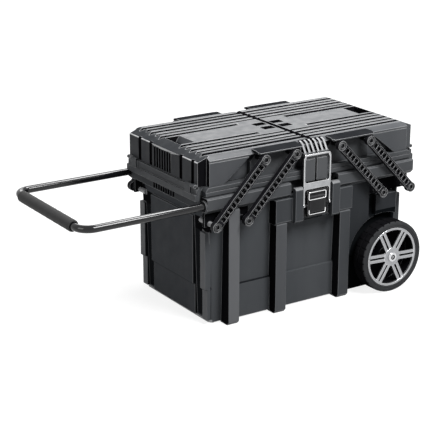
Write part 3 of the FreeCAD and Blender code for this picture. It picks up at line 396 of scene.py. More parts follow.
# Darker wings under the overhang of lids and arms: painted shade
TUB_WING_SHADE = Plastic("tub_wing_painted_shade", (0.035, 0.038, 0.042), (0.043, 0.046, 0.050), (0.40, 0.52), 0.10)
# Darker end panels: painted shade
TUB_END_SHADE = Plastic("tub_end_painted_shade", (0.034, 0.037, 0.042), (0.042, 0.045, 0.050), (0.46, 0.60), 0.05)
# Near black wheel arches, fender grooves and wall below the fender boxes: painted shade
TUB_ARCH_SHADE = Plastic("tub_arch_painted_shade", (0.004, 0.005, 0.006), (0.007, 0.008, 0.009), (0.46, 0.58), 0.0)
# Darker fender fronts and tray ends: painted shade
PANEL_SHADE = Plastic("panel_painted_shade", (0.019, 0.021, 0.024), (0.025, 0.027, 0.030), (0.44, 0.56), 0.06)
# Near black rib sides, upper end corners and rail aprons and ends: painted shade
TUB_SHADE = Plastic("tub_painted_shade", (0.004, 0.004, 0.005), (0.007, 0.007, 0.008), (0.55, 0.70), 0.0)
# Dark strips beside the end panels and along the wall's step: painted shade
TUB_GAP_SHADE = Plastic("tub_gap_painted_shade", (0.011, 0.012, 0.014), (0.016, 0.017, 0.019), (0.50, 0.64), 0.0)
# Light post tops: painted highlight
TUB_POST_HIGHLIGHT = Plastic("tub_post_painted_highlight", (0.150, 0.154, 0.160), (0.185, 0.189, 0.195), (0.36, 0.46), 0.40, 0.08)
# Light line along the foot of each end: painted reflection of the floor
TUB_BASE_REFLECTION = Plastic("tub_base_painted_reflection", (0.240, 0.244, 0.250), (0.290, 0.294, 0.300), (0.32, 0.42), 0.40, 0.05)

# Finishes of the lids, trays, arms and catches: plain colours, and colours that paint light and shade on
# them
LID_PLASTIC = Plastic("lid_charcoal", (0.046, 0.049, 0.054), (0.055, 0.058, 0.063), (0.38, 0.50), 0.26)
# Darker end slopes of the lids: painted shade
LID_SLOPE_SHADE = Plastic("lid_slope_painted_shade", (0.016, 0.018, 0.021), (0.024, 0.026, 0.029), (0.44, 0.58), 0.06)
# Near white rim along each lid end: painted highlight
LID_RIM_HIGHLIGHT = Plastic("lid_rim_painted_highlight", (0.540, 0.545, 0.550), (0.620, 0.625, 0.630), (0.32, 0.42), 0.45, 0.05)
# Lighter rounded edges and crests of the lids: painted highlight
LID_EDGE_HIGHLIGHT = Plastic("lid_edge", (0.160, 0.164, 0.170), (0.200, 0.204, 0.210), (0.32, 0.42), 0.45, 0.05)
# Slightly darker lid ends: painted shade
LID_END_SHADE = Plastic("lid_end_painted_shade", (0.044, 0.046, 0.050), (0.054, 0.056, 0.060), (0.44, 0.58), 0.06)
# Dark hood fronts and tops: painted shade
LID_HOOD_SHADE = Plastic("lid_hood_painted_shade", (0.014, 0.015, 0.017), (0.020, 0.021, 0.023), (0.44, 0.56), 0.0)
# Near black grooves, wells, pockets, slots, notches, gaps and pivot rings: painted shade
HOLLOW_SHADE = Plastic("hollow_painted_shade", (0.004, 0.004, 0.005), (0.007, 0.007, 0.008), (0.60, 0.75), 0.0)
TRAY_PLASTIC = Plastic("tray_charcoal", (0.052, 0.055, 0.059), (0.064, 0.067, 0.071), (0.42, 0.55), 0.12)
# Lighter rounded edges of trays and rails: painted highlight
TRAY_EDGE_HIGHLIGHT = Plastic("tray_edge", (0.105, 0.108, 0.114), (0.130, 0.133, 0.139), (0.36, 0.46), 0.35, 0.06)
ARM_PLASTIC = Plastic("arm_black", (0.009, 0.009, 0.011), (0.014, 0.014, 0.016), (0.36, 0.48), 0.04)
# Light rounded edges of the arms: painted highlight
ARM_EDGE_HIGHLIGHT = Plastic("arm_edge", (0.230, 0.233, 0.238), (0.285, 0.288, 0.293), (0.30, 0.40), 0.45, 0.05)
CATCH_PLASTIC = Plastic("catch_charcoal", (0.064, 0.067, 0.071), (0.076, 0.079, 0.083), (0.40, 0.52), 0.14)
# Light edges and fin fronts of the catches: painted highlight
CATCH_HIGHLIGHT = Plastic("catch_edge", (0.240, 0.244, 0.250), (0.300, 0.304, 0.310), (0.32, 0.42), 0.45, 0.05)
BOSS_PLASTIC = Plastic("pivot_boss", (0.280, 0.284, 0.290), (0.340, 0.344, 0.350), (0.32, 0.42), 0.40, 0.05)
BLACK_PLASTIC = Plastic("black_moulding", (0.014, 0.014, 0.015), (0.020, 0.020, 0.021), (0.40, 0.54), 0.10)
# Lighter rounded edges of black mouldings: painted highlight
BLACK_EDGE_HIGHLIGHT = Plastic("black_edge_highlight", (0.052, 0.053, 0.055), (0.066, 0.067, 0.069), (0.34, 0.44), 0.30, 0.05)

# Finishes of the wheels, latch and handle; the lighter edge colours are painted highlights and the tread
# colour is painted shade
WHEEL_BLACK = Plastic("wheel_core_black", (0.004, 0.004, 0.005), (0.007, 0.007, 0.008), (0.50, 0.64), 0.0)
TYRE_RUBBER = Rubber("tyre_wall", (0.029, 0.030, 0.032), (0.040, 0.041, 0.043))
# Near black tread with no sheen: painted shade
TREAD_SHADE = Rubber("tyre_tread_painted_shade", (0.005, 0.005, 0.006), (0.009, 0.009, 0.010), (0.70, 0.88), 0.0)
WHEEL_SILVER = SilverPaint("wheel_silver", (0.25, 0.255, 0.265), (0.33, 0.335, 0.345))
# Light silver: painted highlight on the trims' rounded edges, and the hub caps' own colour
SILVER_HIGHLIGHT_AND_CAP = SilverPaint("silver_highlight_and_cap", (0.50, 0.505, 0.515), (0.60, 0.605, 0.615), (0.22, 0.32))
LATCH_STEEL = Metal("latch_zinc", (0.27, 0.275, 0.285), (0.35, 0.355, 0.365))
# Bright steel: the wires' own colour, and a painted highlight on the bail's rounded edges
BRIGHT_WIRE_AND_EDGE_HIGHLIGHT = Metal("bright_wire_and_edge_highlight", (0.74, 0.745, 0.75), (0.82, 0.825, 0.83), (0.14, 0.26))
PIN_STEEL = Metal(
    "pin_black_oxide", (0.022, 0.023, 0.025), (0.034, 0.035, 0.037), (0.35, 0.50), rub=TURNED, grain=TURNED
)
AXLE_STEEL = Metal("axle_zinc", (0.50, 0.50, 0.52), (0.60, 0.60, 0.62), rub=TURNED, grain=TURNED)
HANDLE_PAINT = GlossPaint("handle_gloss_black", (0.004, 0.004, 0.005), (0.006, 0.006, 0.007))
GRIP_FOAM = Foam("grip_foam", (0.012, 0.012, 0.013), (0.018, 0.018, 0.019))


def over(low: float) -> Limits:
    """Limits of everything above a value."""
    return (low, math.inf)


def under(high: float) -> Limits:
    """Limits of everything below a value."""
    return (-math.inf, high)


FREE = (-math.inf, math.inf)
SQUARE = over(0.9)


@dataclass(frozen=True)
class Zone:
    """Faces of one part of a piece, or edges, with their run in place of a normal.

    Places are in millimetres: x, y and z as they are, out_x and out_y as distances from the box's middle
    planes, and ring as the distance from the nearest of some axes along Y. side_x, side_y and side_z limit
    the size of the normal's parts, and rise limits its upward part.
    """

    x: Limits = FREE
    y: Limits = FREE
    z: Limits = FREE
    out_x: Limits = FREE
    out_y: Limits = FREE
    side_x: Limits = FREE
    side_y: Limits = FREE
    side_z: Limits = FREE
    rise: Limits = FREE
    axes: Sequence[tuple[float, float]] = ()
    ring: Limits = FREE

    def holds(self, place: Vector, normal: Vector) -> bool:
        """Whether a face is in the zone.

        Args:
            place: Its middle, in metres.
            normal: Its normal.

        Returns:
            True where every limit holds.
        """
        x, y, z = (part / MM for part in place)
        limited = [(x, self.x), (y, self.y), (z, self.z), (abs(x), self.out_x), (abs(y), self.out_y)]
        limited += [(abs(normal.x), self.side_x), (abs(normal.y), self.side_y)]
        limited += [(abs(normal.z), self.side_z), (normal.z, self.rise)]
        if self.axes:
            reach = min(math.hypot(abs(x) - across, z - up) for across, up in self.axes)
            limited.append((reach, self.ring))
        return all(low < part < high for part, (low, high) in limited)


WHEEL_AXIS = (221.0, 92.0)
OUTER_PIVOT = (287.6, 259.0)
ARM_PIVOTS = ((67.2, 398.0), (154.4, 398.0), (200.4, 259.0), OUTER_PIVOT)

# Zones of the tub
POST_TOPS = Zone(y=under(-170.0), z=over(306.0), rise=over(0.3))
RIB_FACES = Zone(out_y=(178.5, 181.5), side_y=SQUARE)
MIDDLE_RIB_FACES = replace(RIB_FACES, x=(-116.0, 0.0))
WHEEL_RIB_FACES = replace(RIB_FACES, x=(0.0, 116.0))
RIB_SIDES = Zone(out_x=under(250.0), out_y=(157.0, 180.5), side_x=SQUARE)
WINGS = Zone(y=under(-170.0), z=over(222.0), out_x=under(116.0), rise=under(0.3))
WHEEL_ARCHES = Zone(x=over(0.0), z=over(20.0), out_y=over(146.0), axes=(WHEEL_AXIS,), ring=under(99.5))
FENDERS = Zone(x=over(115.0), out_y=(170.5, 173.5), side_y=SQUARE)
# Lower part of the fender fronts, which takes painted shade
FENDER_FEET = replace(FENDERS, x=over(195.0), z=under(205.0))
FENDER_GROOVES = Zone(x=(174.5, 197.5), z=over(193.0), out_y=(157.0, 173.0))
SEAMS = Zone(z=(86.5, 93.5), out_y=under(158.0))
MIDDLE_SEAMS = replace(SEAMS, out_x=under(100.0))
END_FACES = Zone(out_x=over(262.0), side_x=SQUARE)
END_WALLS = Zone(out_x=(268.0, 288.5), side_x=SQUARE)
END_PANELS = Zone(out_x=(270.0, 297.0), out_y=under(97.0), side_x=SQUARE)
END_GAPS = Zone(z=(20.0, 232.0), out_x=(268.0, 291.0), out_y=(95.5, 128.5))
CORNER_POSTS = Zone(out_x=(283.0, 293.0), out_y=(128.5, 149.5), side_x=SQUARE)
CORNER_BOSSES = Zone(out_y=(124.0, 156.0), axes=(OUTER_PIVOT,), ring=under(6.4))
UPPER_CORNERS = Zone(z=over(232.5), out_x=over(262.0), out_y=(97.0, 156.0))
BASE_LINES = Zone(z=under(9.6), out_x=over(262.0), side_x=over(0.3), rise=under(0.2))
BASE_EDGES = Zone(z=under(7.0), out_x=over(262.0), side_y=over(0.7))

# Zones of the lids
LID_TOPS = Zone(z=over(417.5), rise=over(0.985))
LID_SLOPES = Zone(z=over(404.0), out_x=over(280.0), side_x=(0.2, 0.6))
LID_RIMS = Zone(z=(402.0, 409.0), out_x=(312.0, 316.0), out_y=under(152.0))
LID_RIM_EDGES = Zone(z=over(402.0), out_x=over(313.0), side_y=over(0.98))
LID_ENDS = Zone(out_x=(300.0, 316.0), side_x=SQUARE)
LID_NOTCHES = Zone(x=(-316.0, -289.0), out_y=over(153.0), rise=under(0.5))
LID_MARGINS = Zone(z=over(408.5), out_y=(154.0, 168.5), side_y=over(0.3), rise=over(0.3))
FIN_MARGINS = replace(LID_MARGINS, y=under(0.0), out_x=under(36.0))
HOOD_FRONTS = Zone(z=over(404.0), out_y=over(169.0), rise=under(0.985))
HOOD_TOPS = replace(LID_TOPS, out_y=over(156.0))
GROOVE_SIDES = Zone(z=over(411.5), out_y=(38.0, 142.0), side_y=over(0.3), rise=(0.15, 0.93))
GROOVE_CRESTS = Zone(z=over(416.5), out_y=(38.0, 146.0), side_x=over(0.98))
FINGER_WELLS = Zone(z=(402.0, 417.2), out_x=(252.5, 287.0), out_y=under(34.6))
GAP_POCKETS = Zone(z=(402.0, 417.2), out_x=(8.4, 42.6), out_y=(6.4, 31.6))
FACING_ENDS = Zone(out_x=under(6.7), side_x=SQUARE)
LID_SPLITS = Zone(z=over(402.0), out_x=under(6.7))
LID_SLOTS = Zone(z=under(412.0), out_x=(309.6, 315.2), out_y=under(149.0))
LID_SLOT_SIDES = replace(LID_SLOTS, side_y=over(0.3))
LID_SLOT_FLOORS = replace(LID_SLOTS, out_x=(309.6, 312.0), side_x=SQUARE)
LID_SLOT_FEET = replace(LID_SLOTS, z=under(380.0), side_z=over(0.3))

# Zones of the trays, rails, arms, catches and wheels
TRAY_ENDS = Zone(z=under(338.0), out_x=(290.0, 313.0), side_x=SQUARE)
TRAY_SLOT_SIDES = Zone(z=(294.8, 316.2), out_x=(308.0, 312.4), out_y=under(60.0), side_y=over(0.3))
TRAY_SLOT_FLOORS = Zone(z=(294.8, 316.2), out_x=(308.0, 311.0), out_y=under(60.0))
RAIL_APRONS = Zone(z=under(287.0))
RAIL_ENDS = Zone(out_x=over(290.0), side_x=SQUARE)
PIVOT_BOSSES = Zone(out_y=over(162.0), side_y=under(0.5), axes=(OUTER_PIVOT,), ring=under(6.6))
ARM_RINGS = Zone(out_y=(194.0, 197.4), axes=ARM_PIVOTS, ring=under(10.8))
FIN_FRONTS = Zone(z=over(392.6), side_x=under(0.3), rise=over(0.2))
FIN_SIDES = Zone(z=over(391.0), side_x=SQUARE)
FIN_GAP_FLOORS = Zone(z=over(391.0), rise=over(0.97))
TYRE_TREAD = Zone(out_y=under(212.0), axes=(WHEEL_AXIS,), ring=over(87.0))
CAP_DISH = Zone(axes=(WHEEL_AXIS,), ring=(3.2, 6.3))
CAP_MIDDLE = Zone(axes=(WHEEL_AXIS,), ring=under(1.9))


@dataclass(frozen=True)
class Accent:
    """A finish for some zones of a moulding, with or without the rounded edges in them. Most accents paint
    light or shade.
    """

    finish: Finish
    zones: Sequence[Zone]
    edges: bool = False


@dataclass(frozen=True)
class Slice:
    """A straight cut across a zone, so that a part of it can take another finish."""

    zone: Zone
    point: Triple
    direction: Triple


@dataclass(frozen=True)
class Look:
    """How a moulding is dressed: its colour, a lighter colour on its rounded edges as a painted highlight,
    accents, and the zones whose edges have only a share of the full rounding.
    """

    finish: Finish
    edge_highlight: Finish
    edge: float
    accents: Sequence[Accent] = ()
    slices: Sequence[Slice] = ()
    shares: Sequence[tuple[Zone, float]] = ()
    other_share: float = 1.0

    def share(self, middle: Vector, run: Vector) -> float:
        """Share of the full rounding for an edge's middle and direction."""
        return next((part for zone, part in self.shares if zone.holds(middle, run)), self.other_share)


class Bench:
    """Selection and edit-mode helpers around Blender's operators."""

    @staticmethod
    def clear() -> None:
        """Leave edit mode with nothing selected."""
        if bpy.context.mode != "OBJECT":
            bpy.ops.object.mode_set(mode="OBJECT")
        bpy.ops.object.select_all(action="DESELECT")

    @staticmethod
    def only(piece: bpy.types.Object) -> None:
        """Make one piece the selected and active one.

        Args:
            piece: The piece.
        """
        Bench.clear()
        piece.select_set(True)
        bpy.context.view_layer.objects.active = piece

    @staticmethod
    def pick_faces(piece: bpy.types.Object, test: Test) -> None:
        """Select faces in edit mode by their place.

        Args:
            piece: The active piece.
            test: Takes a face's centre and normal, and says whether it is wanted.
        """
        bpy.ops.object.mode_set(mode="EDIT")
        bpy.context.tool_settings.mesh_select_mode = (False, False, True)
        bpy.ops.mesh.select_all(action="DESELECT")
        bpy.ops.object.mode_set(mode="OBJECT")
        for face in piece.data.polygons:
            face.select = test(face.center, face.normal)
        bpy.ops.object.mode_set(mode="EDIT")

    @staticmethod
    def start_circle(name: str, place: Triple, radius: float, steps: int, turn: float) -> bpy.types.Object:
        """Add a circle whose points are selected in edit mode.

        Args:
            name: Name of the piece.
            place: Its centre.
            radius: Its radius.
            steps: Points around.
            turn: Its turn about X.

        Returns:
            The piece.
        """
        Bench.clear()
        bpy.ops.mesh.primitive_circle_add(
            vertices=steps, radius=radius, fill_type="NOTHING", location=place, rotation=(turn, 0.0, 0.0)
        )
        piece = bpy.context.object
        piece.name = name
        bpy.ops.object.transform_apply(location=True, rotation=True, scale=True)
        bpy.ops.object.mode_set(mode="EDIT")
        bpy.context.tool_settings.mesh_select_mode = (True, False, False)
        bpy.ops.mesh.select_all(action="SELECT")
        return piece

    @staticmethod
    def draw_on(x: float, y: float, z: float) -> None:
        """Lengthen the selected end of a piece."""
        bpy.ops.mesh.extrude_region_move(TRANSFORM_OT_translate={"value": (x, y, z)})

    @staticmethod
    def lathe(name: str, centre: Vector, profile: Profile, steps: int) -> bpy.types.Object:
        """Turn a profile about a line along Y.

        Args:
            name: Name of the piece.
            centre: A point of the line.
            profile: Places along Y and radii, in metres.
            steps: Faces around.

        Returns:
            The piece, open at both ends of the profile.
        """
        place, radius = profile[0]
        piece = Bench.start_circle(name, (centre.x, place, centre.z), radius, steps, math.pi / 2)
        for next_place, next_radius in profile[1:]:
            Bench.draw_on(0.0, next_place - place, 0.0)
            share = next_radius / radius
            middle = (centre.x, next_place, centre.z)
            bpy.ops.transform.resize(value=(share, 1.0, share), center_override=middle)
            place, radius = next_place, next_radius
        bpy.ops.object.mode_set(mode="OBJECT")
        return piece

    @staticmethod
    def close_mesh(piece: bpy.types.Object) -> None:
        """Merge doubled points and turn the faces outwards.

        Args:
            piece: The piece.
        """
        Bench.only(piece)
        bpy.ops.object.mode_set(mode="EDIT")
        bpy.ops.mesh.select_all(action="SELECT")
        bpy.ops.mesh.remove_doubles(threshold=MERGE_DISTANCE)
        bpy.ops.mesh.normals_make_consistent(inside=False)
        bpy.ops.object.mode_set(mode="OBJECT")

    @staticmethod
    def apply(piece: bpy.types.Object, kind: str, **settings: object) -> None:
        """Add a modifier and apply it.

        Args:
            piece: The piece.
            kind: Blender's name of the modifier type.
            **settings: Settings of the modifier.
        """
        Bench.only(piece)
        modifier = piece.modifiers.new(kind.lower(), kind)
        for key, value in settings.items():
            setattr(modifier, key, value)
        bpy.ops.object.modifier_apply(modifier=modifier.name)

    @staticmethod
    def weigh_edges(piece: bpy.types.Object, share: Callable[[Vector, Vector], float]) -> None:
        """Write how far each sharp edge is rounded.

        Args:
            piece: The piece.
            share: Takes an edge's middle and direction, and gives its part of the full rounding.
        """
        mesh = piece.data
        sides: dict[tuple[int, int], list[Vector]] = {}
        for face in mesh.polygons:
            for key in face.edge_keys:
                sides.setdefault(key, []).append(face.normal)
        weights = mesh.attributes.new("bevel_weight_edge", "FLOAT", "EDGE")
        flat = math.cos(math.radians(SHARP_ANGLE))
        for edge in mesh.edges:
            normals = sides.get(edge.key, [])
            if len(normals) == 2 and normals[0].dot(normals[1]) < flat:
                first, last = (mesh.vertices[index].co for index in edge.vertices)
                weights.data[edge.index].value = share((first + last) / 2.0, (last - first).normalized())

    @staticmethod
    def smooth(piece: bpy.types.Object, angle: float = SMOOTH_ANGLE) -> None:
        """Shade smooth below an angle in degrees."""
        Bench.only(piece)
        bpy.ops.object.shade_smooth_by_angle(angle=math.radians(angle))


@dataclass
class Assembly:
    """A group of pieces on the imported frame."""

    frame: dict
    made: list[str] = field(default_factory=list)

    def body_of(self, node: str) -> str:
        """The body that a node belongs to."""
        return self.frame["nodes"][node]["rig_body"]

    def slot_of(self, node: str) -> str:
        """The record's material slot of a node."""
        rows = self.frame["record"]["subparts"]
        return next(row["material_slot"] for row in rows if row["node"] == node)

    def coat(self, piece: bpy.types.Object, finishes: Sequence[Finish]) -> None:
        """Give a piece its finishes in slot order, with the first one all over.

        Args:
            piece: The piece.
            finishes: Its finishes.
        """
        piece.data.materials.clear()
        for finish in finishes:
            piece.data.materials.append(finish.material())

    def tint(self, piece: bpy.types.Object, slot: int, zones: Sequence[Zone], edges: bool = True) -> None:
        """Give the faces in some zones the finish of a slot.

        Args:
            piece: The piece.
            slot: Number of the slot.
            zones: The zones.
            edges: Whether rounded edges change too.
        """
        for face in piece.data.polygons:
            if edges or face.material_index != EDGE_SLOT:
                if any(zone.holds(face.center, face.normal) for zone in zones):
                    face.material_index = slot

    def paint(self, node: str, finish: Finish) -> None:
        """Give a node that stays as it is its finish."""
        self.coat(self.frame["nodes"][node], [finish])
        LOG.info("painted %s", node)

    def mount(self, piece: bpy.types.Object, node: str, replace_node: bool = True) -> None:
        """Put a finished piece on a node's body.

        Args:
            piece: The finished piece.
            node: The node that it stands for or sits on.
            replace_node: Whether it stands for the node.
        """
        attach(piece, self.body_of(node))
        self.slot_of(node)
        if replace_node:
            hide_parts(node)
        self.made.append(piece.name)
        LOG.info("mounted %s on %s, %d faces", piece.name, node, len(piece.data.polygons))

    def copy_node(self, node: str, name: str) -> bpy.types.Object:
        """Copy a node with a mesh of its own.

        Args:
            node: The node's name.
            name: Name of the copy.

        Returns:
            The copy, selected and active.
        """
        piece = bpy.data.objects.new(name, self.frame["nodes"][node].data.copy())
        bpy.context.scene.collection.objects.link(piece)
        Bench.only(piece)
        bpy.ops.mesh.customdata_custom_splitnormals_clear()
        return piece

    def mould(self, node: str, look: Look) -> None:
        """Replace a node by a copy with rounded edges.

        Args:
            node: The node's name.
            look: How the copy is dressed.
        """
        piece = self.copy_node(node, "moulded_" + node)
        self.coat(piece, [look.finish, look.edge_highlight] + [accent.finish for accent in look.accents])
        bpy.ops.object.mode_set(mode="EDIT")
        bpy.ops.mesh.select_all(action="SELECT")
        bpy.ops.mesh.remove_doubles(threshold=MERGE_DISTANCE)
        bpy.ops.mesh.dissolve_limited(angle_limit=math.radians(FLAT_ANGLE))
        for cut in look.slices:
            Bench.pick_faces(piece, cut.zone.holds)
            bpy.ops.mesh.bisect(plane_co=cut.point, plane_no=cut.direction)
        bpy.ops.mesh.select_all(action="SELECT")
        bpy.ops.mesh.vert_connect_concave()
        bpy.ops.object.mode_set(mode="OBJECT")
        Bench.weigh_edges(piece, look.share)
        # The rounded edges take the lighter edge colour: painted highlight
        Bench.apply(
            piece,
            "BEVEL",
            width=look.edge,
            segments=EDGE_STEPS,
            limit_method="WEIGHT",
            use_clamp_overlap=False,
            miter_outer="MITER_ARC",
            harden_normals=False,
            material=EDGE_SLOT,
        )
        Bench.smooth(piece)
        Bench.apply(piece, "WEIGHTED_NORMAL", keep_sharp=True, weight=NORMAL_WEIGHT)
        for slot, accent in enumerate(look.accents, start=EDGE_SLOT + 1):
            self.tint(piece, slot, accent.zones, accent.edges)
        self.mount(piece, node)


@dataclass
class BoxShell(Assembly):
    """Tub, rails, trays, dividers, lids, catches and arms."""

    tub_edge: float = 2.8 * MM
    wall_edge_share: float = 0.43
    gap_low: float = 14.0 * MM
    gap_high: float = 231.0 * MM
    fender_low: float = 206.0 * MM
    base_line: float = 9.5 * MM
    lid_edge: float = 3.0 * MM
    rim_edge_share: float = 0.6
    lid_edge_share: float = 0.25
    hood_start: float = 156.0 * MM
    fin_end: float = 36.0 * MM
    split_low: float = 402.0 * MM
    tray_edge: float = 0.7 * MM
    divider_edge: float = 0.4 * MM
    arm_edge: float = 0.6 * MM
    catch_edge: float = 0.5 * MM

    def build(self) -> None:
        """Dress every moulding of the box."""
        self.mould("tub", self.tub_look())
        lid, tray, catch = self.lid_look(), self.tray_look(), self.catch_look()
        # The divider's rounded edges are lighter: painted highlight
        divider = Look(BLACK_PLASTIC, BLACK_EDGE_HIGHLIGHT, self.divider_edge)
        for side in Side:
            self.mould(side.value + "_lid", lid)
            self.mould(side.value + "_tray", tray)
            self.mould(side.value + "_catch", catch)
            self.mould(side.value + "_divider", divider)
            for end in End:
                self.build_corner(side.value + "_" + end.value)

    def tub_look(self) -> Look:
        """Ribs, wings, wheel arches and ends of the tub, with painted light and shade: lighter rib faces,
        posts and edges, a painted reflection along the base, and darker wings, ends, arches, gaps and rib
        sides.

        Returns:
            The look of the tub.
        """
        accents = [
            Accent(TUB_RIB_LIGHT, (RIB_FACES, CORNER_POSTS)),
            Accent(MIDDLE_RIB_LIGHT, (MIDDLE_RIB_FACES,)),
            Accent(WHEEL_RIB_SHADE, (WHEEL_RIB_FACES,)),
            Accent(TUB_WING_SHADE, (WINGS,)),
            Accent(PANEL_SHADE, (FENDERS,)),
            Accent(TUB_ARCH_SHADE, (FENDER_FEET,)),
            Accent(TUB_ARCH_SHADE, (WHEEL_ARCHES, FENDER_GROOVES), True),
            Accent(TUB_SHADE, (RIB_SIDES,)),
            Accent(TUB_END_SHADE, (END_PANELS,)),
            Accent(TUB_GAP_SHADE, (END_GAPS,)),
            Accent(TUB_GAP_SHADE, (SEAMS,), True),
            Accent(TUB_PLASTIC, (MIDDLE_SEAMS,), True),
            Accent(TUB_SHADE, (UPPER_CORNERS,)),
            Accent(BOSS_PLASTIC, (CORNER_BOSSES,), True),
            Accent(TUB_BASE_REFLECTION, (BASE_LINES,), True),
            Accent(TUB_POST_HIGHLIGHT, (POST_TOPS,), True),
        ]
        heights = [(END_WALLS, self.gap_low), (END_WALLS, self.gap_high)]
        heights += [(FENDERS, self.fender_low), (END_FACES, self.base_line)]
        slices = [Slice(zone, (0.0, 0.0, height), Z_AXIS) for zone, height in heights]
        shares = [(BASE_EDGES, 1.0)]
        return Look(TUB_PLASTIC, TUB_EDGE_HIGHLIGHT, self.tub_edge, accents, slices, shares, self.wall_edge_share)

    def lid_look(self) -> Look:
        """Painted highlights on the rims, crests and edges of a lid, and painted shade in its grooves,
        wells, slots, hood, slopes and gap.

        Returns:
            The look of a lid.
        """
        hollows = (GROOVE_SIDES, FINGER_WELLS, GAP_POCKETS, LID_SPLITS)
        hollows += (LID_SLOT_SIDES, LID_SLOT_FLOORS, LID_SLOT_FEET)
        accents = [
            Accent(LID_END_SHADE, (LID_ENDS,)),
            Accent(LID_SLOPE_SHADE, (LID_SLOPES,)),
            Accent(LID_HOOD_SHADE, (HOOD_FRONTS, HOOD_TOPS)),
            Accent(LID_RIM_HIGHLIGHT, (LID_RIMS,), True),
            Accent(HOLLOW_SHADE, hollows, True),
            Accent(HOLLOW_SHADE, (LID_NOTCHES, FIN_MARGINS)),
        ]
        slices = [Slice(LID_MARGINS, (sign * self.fin_end, 0.0, 0.0), X_AXIS) for sign in (-1.0, 1.0)]
        slices.append(Slice(FACING_ENDS, (0.0, 0.0, self.split_low), Z_AXIS))
        slices += [Slice(LID_TOPS, (0.0, end.sign * self.hood_start, 0.0), Y_AXIS) for end in End]
        shares = [(GROOVE_CRESTS, 1.0), (LID_RIM_EDGES, self.rim_edge_share)]
        return Look(LID_PLASTIC, LID_EDGE_HIGHLIGHT, self.lid_edge, accents, slices, shares, self.lid_edge_share)

    def tray_look(self) -> Look:
        """Painted shade on the end and slots of a tray, and painted highlights on its edges."""
        slots = Accent(HOLLOW_SHADE, (TRAY_SLOT_SIDES, TRAY_SLOT_FLOORS), True)
        return Look(TRAY_PLASTIC, TRAY_EDGE_HIGHLIGHT, self.tray_edge, [Accent(PANEL_SHADE, (TRAY_ENDS,)), slots])

    def catch_look(self) -> Look:
        """Painted highlights on the fins and edges of a catch, and painted shade in the gaps between the
        fins.
        """
        gaps = Accent(HOLLOW_SHADE, (FIN_SIDES, FIN_GAP_FLOORS))
        return Look(CATCH_PLASTIC, CATCH_HIGHLIGHT, self.catch_edge, [gaps, Accent(CATCH_HIGHLIGHT, (FIN_FRONTS,))])

    def build_corner(self, corner: str) -> None:
        """Dress the rail, arms and pins of one corner, with painted shade under the rail and in the arm
        rings.

        Args:
            corner: Start of the names of its nodes.
        """
        shade = Accent(TUB_SHADE, (RAIL_APRONS, RAIL_ENDS))
        rail = Look(TRAY_PLASTIC, TRAY_EDGE_HIGHLIGHT, self.tray_edge, [shade, Accent(BOSS_PLASTIC, (PIVOT_BOSSES,))])
        arm = Look(ARM_PLASTIC, ARM_EDGE_HIGHLIGHT, self.arm_edge, [Accent(HOLLOW_SHADE, (ARM_RINGS,))])
        self.mould(corner + "_rail", rail)
        self.paint(corner + "_hinge_pin", PIN_STEEL)
        for row in ("inner", "outer"):
            self.mould(corner + "_" + row + "_arm", arm)
            for level in ("upper", "lower"):
                self.paint(corner + "_" + row + "_" + level + "_pin", PIN_STEEL)


